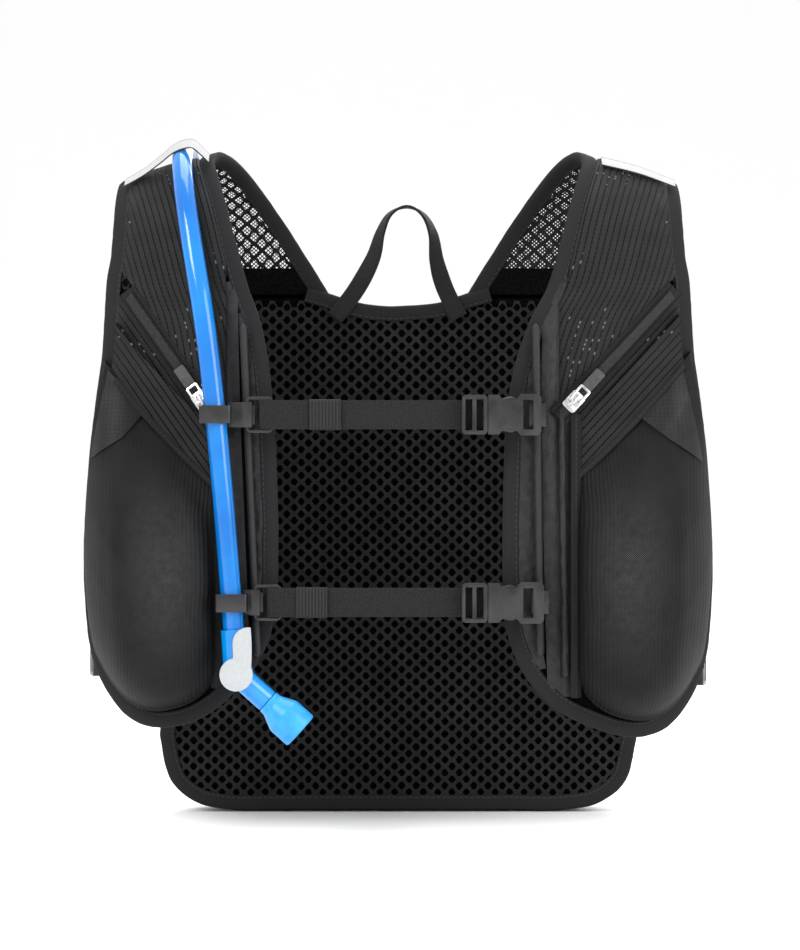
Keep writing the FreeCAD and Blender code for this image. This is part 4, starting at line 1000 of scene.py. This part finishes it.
for side, sign in SIDES.items():
    (x0, z0), (x1, z1) = ZIP_ENDS[side]
    long = math.hypot(x1 - x0, z1 - z0)
    ux, uz = (x1 - x0) / long, (z1 - z0) / long

    def along_zip(s, t, lift, side=side, sign=sign, ux=ux, uz=uz, x0=x0, z0=z0):
        return on_strap(sign, x0 + ux * s - uz * t, z0 + uz * s + ux * t, 3.5 + lift)

    run = even_run([(x0 + ux * k, z0 + uz * k) for k in (-2.5, long / 2, long + 1.5)], 1.4)
    strip_along(f"zip_strip_{side}", run, lambda x, h, lift, s=sign: on_strap(s, x, h, lift), 11.4, 3.3, 0.5, 0.35,
                [f"zip_tape_{side}"], zip_tape)
    coil(f"zip_coil_{side}", int((long - 1) / 1.05), lambda s, t, lift, put_=along_zip: put_(s + 0.5, t, lift))
    moulded(f"zip_slider_{side}", plated, 0.35)
    dress_pull(f"zip_pull_{side}", Vector((sign * ux, 0, uz)))

# ---- Rails and lining --------------------------------------------------------------------------------------
# Round piping sewn down each chest panel carries the chest straps. Beside it run gathered nylon lining and
# flat folds of it, held by the pocket's seam.
lining, tree, shader = finish("lining", (0.02, 0.02, 0.021), 0.4, Specular_IOR_Level=0.25)
where, along, across = weave_map(tree)
crumple = fog(tree, where, 0.16, 4.0, 0.6)
yarn = fog(tree, where, 3.5, 1.0)
# Painted light and shade: the colour follows the crumples, darker and lighter as light would fall on them; the same
# crumples make the bump.
put(tree, shader.inputs["Base Color"], tint(tree, calc(tree, "MULTIPLY_ADD", yarn, 0.3, calc(tree, "MULTIPLY", crumple, 0.7)),
                                           (0.006, 0.006, 0.006), (0.034, 0.034, 0.035), 0.25, 0.8))
relief(tree, shader, calc(tree, "MULTIPLY_ADD", crumple, 1.0, calc(tree, "MULTIPLY", yarn, 0.12)), 0.0009)
piping, tree, shader = finish("piping", (0.03, 0.03, 0.03), 0.5, Specular_IOR_Level=0.3)
where, along, across = weave_map(tree)
twist = calc(tree, "SINE", calc(tree, "MULTIPLY", calc(tree, "ADD", along, across), 4.2))
body = calc(tree, "MULTIPLY_ADD", twist, 0.15, fog(tree, where, 0.9))
put(tree, shader.inputs["Base Color"], tint(tree, body, (0.008, 0.008, 0.008), (0.034, 0.034, 0.035), 0.2, 0.8))
relief(tree, shader, body, 0.0003)
RAIL_X = {"left": (80.5, 73.0), "right": (71.5, 74.0)}


def rail_x(side, z):
    top, foot = RAIL_X[side]
    return foot + (top - foot) * (z - 92) / 174


def cord_tube(name, line, radius, material, nodes, rough=0.0):
    """A closed round tube through a run of points in millimetres."""
    dense = [Vector(p) for p in line]
    last = len(dense) - 1

    def spot(u, v):
        i = round(v * last)
        way = (dense[min(i + 1, last)] - dense[max(i - 1, 0)]).normalized()
        side_way = way.cross(Vector((0, 1, 0))).normalized()
        face_way = side_way.cross(way)
        a = 2 * math.pi * u
        size = radius * (1 + rough * noise.noise(Vector((i * 0.35, 2 * math.cos(a), 2 * math.sin(a)))))
        size *= 0.15 if i in (0, last) else 1
        return dense[i] + (side_way * math.cos(a) + face_way * math.sin(a)) * size

    piece = cloth(name, 14, last, spot, lambda u, v: (v * last * (dense[1] - dense[0]).length, u * 2 * math.pi * radius),
                  (0, -1, 0), closed=True)
    edit((bpy.ops.mesh.select_all, {"action": "SELECT"}))
    return dress(piece, material, nodes, smooth=70)


for side, sign in SIDES.items():
    run = [(sign * rail_x(side, z), -76.0, z) for z in [266 - k * 1.6 for k in range(int(174 / 1.6) + 1)]]
    cord_tube(f"rail_{side}", run, 1.95, piping, [f"strap_rail_{side}"], 0.05)


def lining_strip(side, name, tops, wide, lift, crown, wrinkle, nodes=(), thick=0.5):
    """A vertical strip of lining; tops are its middle line as (x, z) spots from the top down."""
    run = even_run([tuple(p) for p in smooth_line(tops, 10)], 1.5)

    def tucked(x, h, out):
        return on_strap(SIDES[side], max(x, read(edges[side][0], h) + 7.4), h, out)

    return strip_along(name, run, tucked, wide, lift, crown, thick, list(nodes), lining, wrinkle=wrinkle)


def between(side, heights):
    """Middle line of the gathered strip, between the binding and the rail."""
    return [((read(edges[side][0], z) + 6.6 + rail_x(side, z)) / 2, z) for z in heights]


lining_strip("right", "lining_gather_right", between("right", (246, 228, 200, 170, 140, 110, 86)), 9.2, 0.2, 0.7, 0.6)
lining_strip("right", "lining_fold_right", [(79.4, 287), (78.2, 230), (79.4, 150), (81.4, 76)], 7.4, 0.9, 1.7, 0.38,
             ["gusset_right"])
lining_strip("right", "lining_back_right", [(86.4, 290), (85.5, 220), (86, 150), (88, 72)], 11.0, 0.25, 0.15, 0.2)
lining_strip("left", "lining_gather_left", between("left", (272, 250, 228, 200, 170, 140, 110, 92)), 6.8, 0.2, 0.8, 0.6)
lining_strip("left", "lining_fold_left", [(86.8, 284), (85.4, 220), (82.6, 150), (80.2, 90)], 6.6, 0.9, 1.3, 0.25,
             ["gusset_left"])
lining_strip("left", "lining_back_left", [(90, 288), (89.5, 220), (89, 150), (87, 80)], 11.0, 0.25, 0.15, 0.2)
tube_run = [(84.7 + (221 - z) * 0.018, front_y(86) - 2.2, z) for z in [221 - k * 1.6 for k in range(88)]]
cord_tube("pocket_piping_right", tube_run, 2.0, lining, [], 0.18)
for side, panel_area in (("left", 0.0240), ("right", 0.0260)):
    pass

# ---- Chest straps ------------------------------------------------------------------------------------------
# Plain-woven nylon webbing, 15 mm wide. Each strap is folded round a moulded black ring, its tail held by a ribbed
# elastic keeper, and ends in the ladder frame of a side-release buckle. Ring and buckle slide on the rails.
webbing, tree, shader = finish("webbing", (0.02, 0.02, 0.021), 0.62, Specular_IOR_Level=0.18)
where, along, across = weave_map(tree)
weft = calc(tree, "SINE", calc(tree, "MULTIPLY", along, 7.4))
warp = calc(tree, "SINE", calc(tree, "MULTIPLY", across, 7.4))
grain = calc(tree, "MULTIPLY", weft, warp)
body = calc(tree, "MULTIPLY_ADD", grain, 0.14, calc(tree, "MULTIPLY_ADD", weft, 0.06, fog(tree, where, 1.1)))
put(tree, shader.inputs["Base Color"], tint(tree, body, (0.005, 0.005, 0.005), (0.036, 0.036, 0.037), 0.2, 0.85))
relief(tree, shader, calc(tree, "MULTIPLY_ADD", grain, 0.5, calc(tree, "MULTIPLY", weft, 0.4)), 0.0004)
elastic, tree, shader = finish("elastic", (0.02, 0.02, 0.02), 0.6, Specular_IOR_Level=0.2)
where, along, across = weave_map(tree)
ridge = calc(tree, "PINGPONG", along, 0.85)
body = calc(tree, "MULTIPLY_ADD", ridge, 0.7, calc(tree, "MULTIPLY", fog(tree, where, 1.5), 0.4))
put(tree, shader.inputs["Base Color"], tint(tree, body, (0.004, 0.004, 0.004), (0.036, 0.036, 0.037), 0.1, 0.9))
relief(tree, shader, ridge, 0.0006)
moulded_black, tree, shader = finish("moulded_black", (0.012, 0.012, 0.0125), 0.3, Specular_IOR_Level=0.55)
spot = own_place(tree)
grain = fog(tree, spot, 1500.0, 2.0)
wear = fog(tree, spot, 130.0)
put(tree, shader.inputs["Base Color"], tint(tree, wear, (0.006, 0.006, 0.006), (0.020, 0.020, 0.0205)))
put(tree, shader.inputs["Roughness"], calc(tree, "MULTIPLY_ADD", wear, 0.25, 0.18))
relief(tree, shader, grain, 0.00006)
WEB_Y = -82.5
STRAPS = {"upper": 218.5, "lower": 121.5}
KEEPER_X = {"upper": (-46.0, -29.5), "lower": (-52.8, -36.6)}


def flat_strap(name, stations, wide, thick, nodes, body, material, smooth=60, crown=0.0):
    """Webbing through stations of (middle, way across it); thick in millimetres, closed all round."""
    mids = [Vector(m) for m, _ in stations]
    ways = [Vector(w).normalized() for _, w in stations]
    travel = [0.0]
    for a, b in zip(mids, mids[1:]):
        travel.append(travel[-1] + (b - a).length)
    last = len(mids) - 1
    ring = [(-1, -0.6), (-0.9, -1), (-0.5, -1), (0, -1), (0.5, -1), (0.9, -1), (1, -0.6), (1, 0.6), (0.9, 1), (0.5, 1),
            (0, 1), (-0.5, 1), (-0.9, 1), (-1, 0.6), (-1, -0.6)]

    def spot(u, v):
        i = round(v * last)
        run = (mids[min(i + 1, last)] - mids[max(i - 1, 0)]).normalized()
        out = run.cross(ways[i]).normalized()
        s, t = ring[round(u * (len(ring) - 1))]
        if i in (0, last):
            s, t = s * 0.98, t * 0.6
        return mids[i] + ways[i] * (s * wide / 2) + out * (t * thick / 2 + crown * (1 - s * s))

    def weave(u, v):
        s, t = ring[round(u * (len(ring) - 1))]
        return travel[round(v * last)], s * wide / 2

    piece = cloth(name, len(ring) - 1, last, spot, weave, (0, -1, 0))
    edit((bpy.ops.mesh.fill_holes, {"sides": 0}), (bpy.ops.mesh.normals_make_consistent, {"inside": False}))
    return dress(piece, material, nodes, body=body, smooth=smooth)


for level, z in STRAPS.items():
    rail = -rail_x("left", z)
    fold = rail + 6.4
    a, b = KEEPER_X[level]
    side_view = [(a + 4, -83.95), (a - 1, -84.0), (fold + 16, -84.15), (fold + 12, -84.9), (fold + 8, -85.45),
                 (fold + 3, -85.5), (fold + 1.2, -85.2), (fold + 0.75, -84.2), (fold + 1.2, -83.1), (fold + 3, -82.55),
                 (fold + 8, WEB_Y), (-40, WEB_Y), (-20, WEB_Y - 0.1), (5, WEB_Y + 0.15), (30, WEB_Y), (43.7, WEB_Y)]
    line = smooth_line(side_view, 6)
    flat_strap(f"{level}_chest_strap", [((p[0], p[1], z), (0, 0, 1)) for p in line], 15.0, 1.35,
               [f"{level}_webbing"], f"{level}_strap", webbing)

    def sleeve(u, v, a=a, b=b, z=z):
        x = a + (b - a) * v
        t = 2 * math.pi * u
        swell = 0.22 * math.cos(2 * math.pi * (x - a) / 1.7) - (1.2 if v in (0, 1) else 0)
        s = abs(math.cos(t)) ** 0.25 * math.copysign(1, math.cos(t))
        c = abs(math.sin(t)) ** 0.5 * math.copysign(1, math.sin(t))
        return x, -83.3 + c * (2.1 + swell * (1 if v not in (0, 1) else 0.5)), z + s * (7.95 + swell * 0.4)

    band = cloth(f"{level}_keeper", 36, 80, sleeve, lambda u, v: (v * 16.3, u * 36), (0, -1, 0), closed=True)
    dress(band, elastic, [], body=f"{level}_strap", smooth=40)
    moulded(f"{level}_hose_clip", moulded_black, 0.7, 30, 3)
    moulded(f"{level}_ring", moulded_black, 0.45, 30, 3)
    moulded(f"{level}_buckle_housing", moulded_black, 0.6, 30, 3)
    moulded(f"{level}_buckle_insert", moulded_black, 0.5, 30, 3)
    moulded(f"{level}_prong_top", moulded_black, 0.35, 30, 2)
    moulded(f"{level}_prong_foot", moulded_black, 0.35, 30, 2)

# ---- Haul loop ---------------------------------------------------------------------------------------------
# Narrow webbing sewn to the front of the neck tape at two spots, twisted so that its top stands edge on.
LOOP = [(-35, 275, 0), (-23, 291, 2), (-14, 308, 35), (-10, 322, 60), (-4.5, 332.5, 78), (5, 336.5, 90),
        (14, 332, 78), (19.5, 321, 60), (21.5, 306, 35), (26, 291, 2), (34, 275, 0)]
line = smooth_line(LOOP, 8)
stations = []
for i, (x, z, turn) in enumerate(line):
    ahead, behind = line[min(i + 1, len(line) - 1)], line[max(i - 1, 0)]
    run = Vector((ahead[0] - behind[0], 0, ahead[1] - behind[1])).normalized()
    normal = Vector((-run.z, 0, run.x))
    a = math.radians(turn)
    stations.append(((x, 45.9, z), normal * math.cos(a) + Vector((0, 1, 0)) * math.sin(a)))
flat_strap("haul_webbing", stations, 9.6, 1.5, ["haul_loop"], "loop", webbing)

# ---- Labels ------------------------------------------------------------------------------------------------
# Two woven satin labels, plain white with a dark selvedge. One is sewn flat across the shoulder; the other is
# sewn down at its ends only, and the hose runs through it.
label_white, tree, shader = finish("label", (0.5, 0.5, 0.5), 0.55, Specular_IOR_Level=0.2)
where, along, across = weave_map(tree)
satin = fog(tree, where, 1.7, 2.0)
picks = calc(tree, "SINE", calc(tree, "MULTIPLY", along, 9.0))
selvedge = calc(tree, "GREATER_THAN", calc(tree, "ABSOLUTE", across), 4.25)
blend = tree.nodes.new("ShaderNodeMix")
blend.data_type = "RGBA"
put(tree, blend.inputs["Factor"], selvedge)
put(tree, blend.inputs["A"], tint(tree, satin, (0.42, 0.42, 0.42), (0.54, 0.54, 0.54)))
blend.inputs["B"].default_value = (0.03, 0.03, 0.03, 1)
put(tree, shader.inputs["Base Color"], blend.outputs["Result"])
relief(tree, shader, calc(tree, "MULTIPLY_ADD", picks, 0.4, satin), 0.00015)
LABEL_H = 359.5
LABELS = {"left": ("hose_keeper", [(100.4, 4.4), (104.5, 10), (109, 15.1), (114.5, 16.2), (120, 15.1), (126.5, 11.6),
                                   (136, 7.2), (146.6, 4.2)]),
          "right": ("shoulder_label", [(108.4, 5.2), (128.5, 5.9), (148.6, 4.4)])}
for side, (node, stations) in LABELS.items():
    dense = smooth_line(stations, 10)

    def label_lay(u, v, dense=dense, sign=SIDES[side]):
        x, lift = dense[round(v * (len(dense) - 1))]
        return on_strap(sign, x, LABEL_H + (u - 0.5) * 9.6, lift + 0.2)

    long = sum((q - p).length for p, q in zip(dense, dense[1:]))
    piece = cloth(f"label_{side}", 6, len(dense) - 1, label_lay, lambda u, v, n=long: (v * n, (u - 0.5) * 9.6), (0, -1, 0.3),
                  0.55)
    dress(piece, label_white, [node])

# ---- Side straps -------------------------------------------------------------------------------------------
# Short straps that join each chest panel's foot to the pack, through a two-slot ladder lock; the tail loop is not
# built.
for side, sign in SIDES.items():
    drop = HANG[side][1]
    lock = Vector((sign * 164.0, -4.0, 84.0 + drop))
    for label, start in (("front", Vector((sign * 150.0, -31.0, 73.0 + drop))), ("rear", Vector((sign * 129.0, 51.2, 64.0)))):
        end = lock + (start - lock).normalized() * 4.4
        across_way = Vector((0, 0, 1)) - (end - start) * (end - start).z / (end - start).length_squared
        stations = []
        for k in range(19):
            t = k / 18
            spot = start.lerp(end, t) + Vector((-sign * 1.2, 0, -1.0)) * math.sin(math.pi * t)
            stations.append((spot, across_way))
        flat_strap(f"side_strap_{label}_{side}", stations, 9.6, 1.3,
                   ["side_straps"] if (side, label) == ("left", "front") else [], "vest", webbing)
    moulded(f"ladder_lock_{side}", moulded_black, 0.4, 30, 2)

# ---- Pack --------------------------------------------------------------------------------------------------
# Shallow pack of ripstop nylon, sewn to the back panel under the binding and rounded out by the reservoir. The
# fabric is a little slack, so it creases towards its corners and along the seams.
PACK_HALF = [(0, 92), (6, 112), (22, 122), (60, 124), (110, 116), (165, 108), (215, 110), (258, 122), (300, 128)]
PACK_REAR = [(-8, 80), (1, 90), (11, 95), (26, 96), (212, 96), (245, 92), (285, 81), (310, 74)]
BULGE = [(0, 1.0), (0.52, 1.0), (0.66, 0.97), (0.8, 0.88), (0.9, 0.76), (0.96, 0.6), (0.99, 0.3), (1.0, 0.0)]


def pack_rear(x, z):
    """The pack's skin at a spot, with the slack fabric's creases."""
    half_wide = read(PACK_HALF, z)
    share = read(BULGE, min(abs(x) / half_wide, 1.0))
    crease = 1.1 * abs(noise.noise(Vector((x / 34 + z / 60, z / 22, 5)))) + 0.5 * abs(noise.noise(Vector((x / 12, z / 30, 8))))
    return 53.6 + (read(PACK_REAR, z) - 53.6 - 1.2 * crease) * share


def pack_spot(u, v):
    x_share = 2 * u - 1
    z = min(max((v - 0.05) / 0.90, 0.0), 1.0) * 300
    x = x_share * (read(PACK_HALF, z) - 0.4)
    top = read([(0, 277), (22, 279), (60, 299.6), (128, 299.6)], abs(x))
    z = min(max(z, 0.4), top)
    close = min(v / 0.05, (1 - v) / 0.05, 1.0)
    y = pack_rear(x, z)
    return x, 53.5 + (y - 53.5) * max(close, 0.0) ** 0.6, z


shell = cloth("pack_fabric", 90, 110, pack_spot, lambda u, v: (u * 250, v * 330), (0, 1, 0), 0.7)
dress(shell, ripstop, ["pack_shell"])
for sign in (-1, 1):
    seam = smooth_line([(88, 292), (80, 255), (74, 210), (77, 150), (84, 90), (88, 30), (82, 6)], 14)
    line = [(sign * p[0], pack_rear(p[0], p[1]) + 0.5, p[1]) for p in seam]
    cord_tube(f"pack_seam_{'left' if sign < 0 else 'right'}", line, 1.05, piping, [])

# ---- Rear pocket and rear zip ------------------------------------------------------------------------------
# Open stretch pocket over the lower half of the pack, with a bound mouth, and a zip to the reservoir above it.
def pocket_rear(x, z):
    across = read([(0, 1.0), (40, 1.0), (70, 0.62), (86, 0.0)], abs(x))
    up = read([(24, 0.1), (32, 0.66), (56, 1.0), (110, 1.0), (168, 0.86)], z)
    slack = 0.7 * noise.noise(Vector((x / 26, z / 40, 3)))
    return 97.0 + (105.2 - 97.0 - abs(slack)) * across * up


def rear_lay(u, v):
    z = 24.4 + v * 143
    x = (2 * u - 1) * 85.6 * (1 - 0.06 * max(0, 1 - v * 8))
    return x, pocket_rear(x, z), z


rear_mesh = cloth("rear_pocket_mesh", 70, 60, rear_lay, lambda u, v: (u * 180, v * 150 - 60), (0, 1, 0), 0.6)
dress(rear_mesh, knit_mesh, ["rear_pocket"])
mouth = [Vector((x, pocket_rear(x, 167.4) + 0.2, 165.2)) for x in range(-85, 86, 2)]
flat_strap("rear_pocket_mouth", [(p, (0, 0, 1)) for p in mouth], 6.0, 0.8, [], "vest", tape_black)
rear_run = [Vector((x, 97.4, 196)) for x in range(-69, 70, 2)]
flat_strap("rear_zip_strip", [(p, (0, 0, 1)) for p in rear_run], 12.6, 0.7, ["rear_zip_tape"], "vest", zip_tape)
coil("rear_zip_coil", 120, lambda s, t, lift: (s - 63, 97.7 + min(lift, 0.7), 196 + t))
moulded("rear_zip_slider", plated, 0.35)
dress_pull("rear_zip_pull", Vector((-1, 0, 0)))

# ---- Inside the pack ---------------------------------------------------------------------------------------
# A stiff foam sheet lies behind the back panel. The reservoir is clear film, welded round its edge, with a
# screw cap on a wide port, and an outlet elbow with a push button that holds the hose. The hose leaves the
# pack through a short moulded collar.
back_pad, tree, shader = finish("foam", (0.06, 0.06, 0.062), 0.9, Specular_IOR_Level=0.1)
spot = own_place(tree)
pores = fog(tree, spot, 1100.0, kind="ShaderNodeTexVoronoi")
put(tree, shader.inputs["Base Color"], tint(tree, pores, (0.03, 0.03, 0.031), (0.09, 0.09, 0.092)))
relief(tree, shader, pores, 0.0003)
film, tree, shader = finish("water_film", (0.45, 0.62, 0.72), 0.12, Transmission_Weight=0.75, IOR=1.34)
spot = own_place(tree)
wave = fog(tree, spot, 30.0)
put(tree, shader.inputs["Base Color"], tint(tree, wave, (0.38, 0.58, 0.70), (0.55, 0.70, 0.78)))
relief(tree, shader, wave, 0.001)
port_plastic, tree, shader = finish("reservoir_plastic", (0.015, 0.16, 0.42), 0.35, Coat_Weight=0.2)
spot = own_place(tree)
haze = fog(tree, spot, 90.0)
put(tree, shader.inputs["Base Color"], tint(tree, haze, (0.012, 0.14, 0.38), (0.02, 0.19, 0.48)))
relief(tree, shader, fog(tree, spot, 900.0), 0.00005)


def bladder(u, v):
    a = 2 * math.pi * u
    z = 12.5 + v * 249
    end = min(v, 1 - v) / 0.16
    belly = min(end, 1.0) ** 0.5
    wide = 84.5 * (0.72 + 0.28 * min(end * 1.5, 1.0) ** 0.5)
    x = 7 + wide * math.copysign(abs(math.cos(a)) ** 0.55, math.cos(a))
    return x, 74 + 15.5 * belly * (0.06 + 0.94 * abs(math.sin(a)) ** 0.8) * math.copysign(1, math.sin(a)), z


sac = cloth("reservoir_film", 72, 60, bladder, lambda u, v: (u * 380, v * 250), (0, 1, 0), closed=True)
dress(sac, film, ["reservoir"], smooth=70)
foam_sheet = moulded("back_foam", back_pad, 0.9, 30, 3)
for node in ("fill_port", "fill_cap", "outlet_elbow", "elbow_button", "hose_port"):
    moulded(node, port_plastic, 0.5, 30, 2)
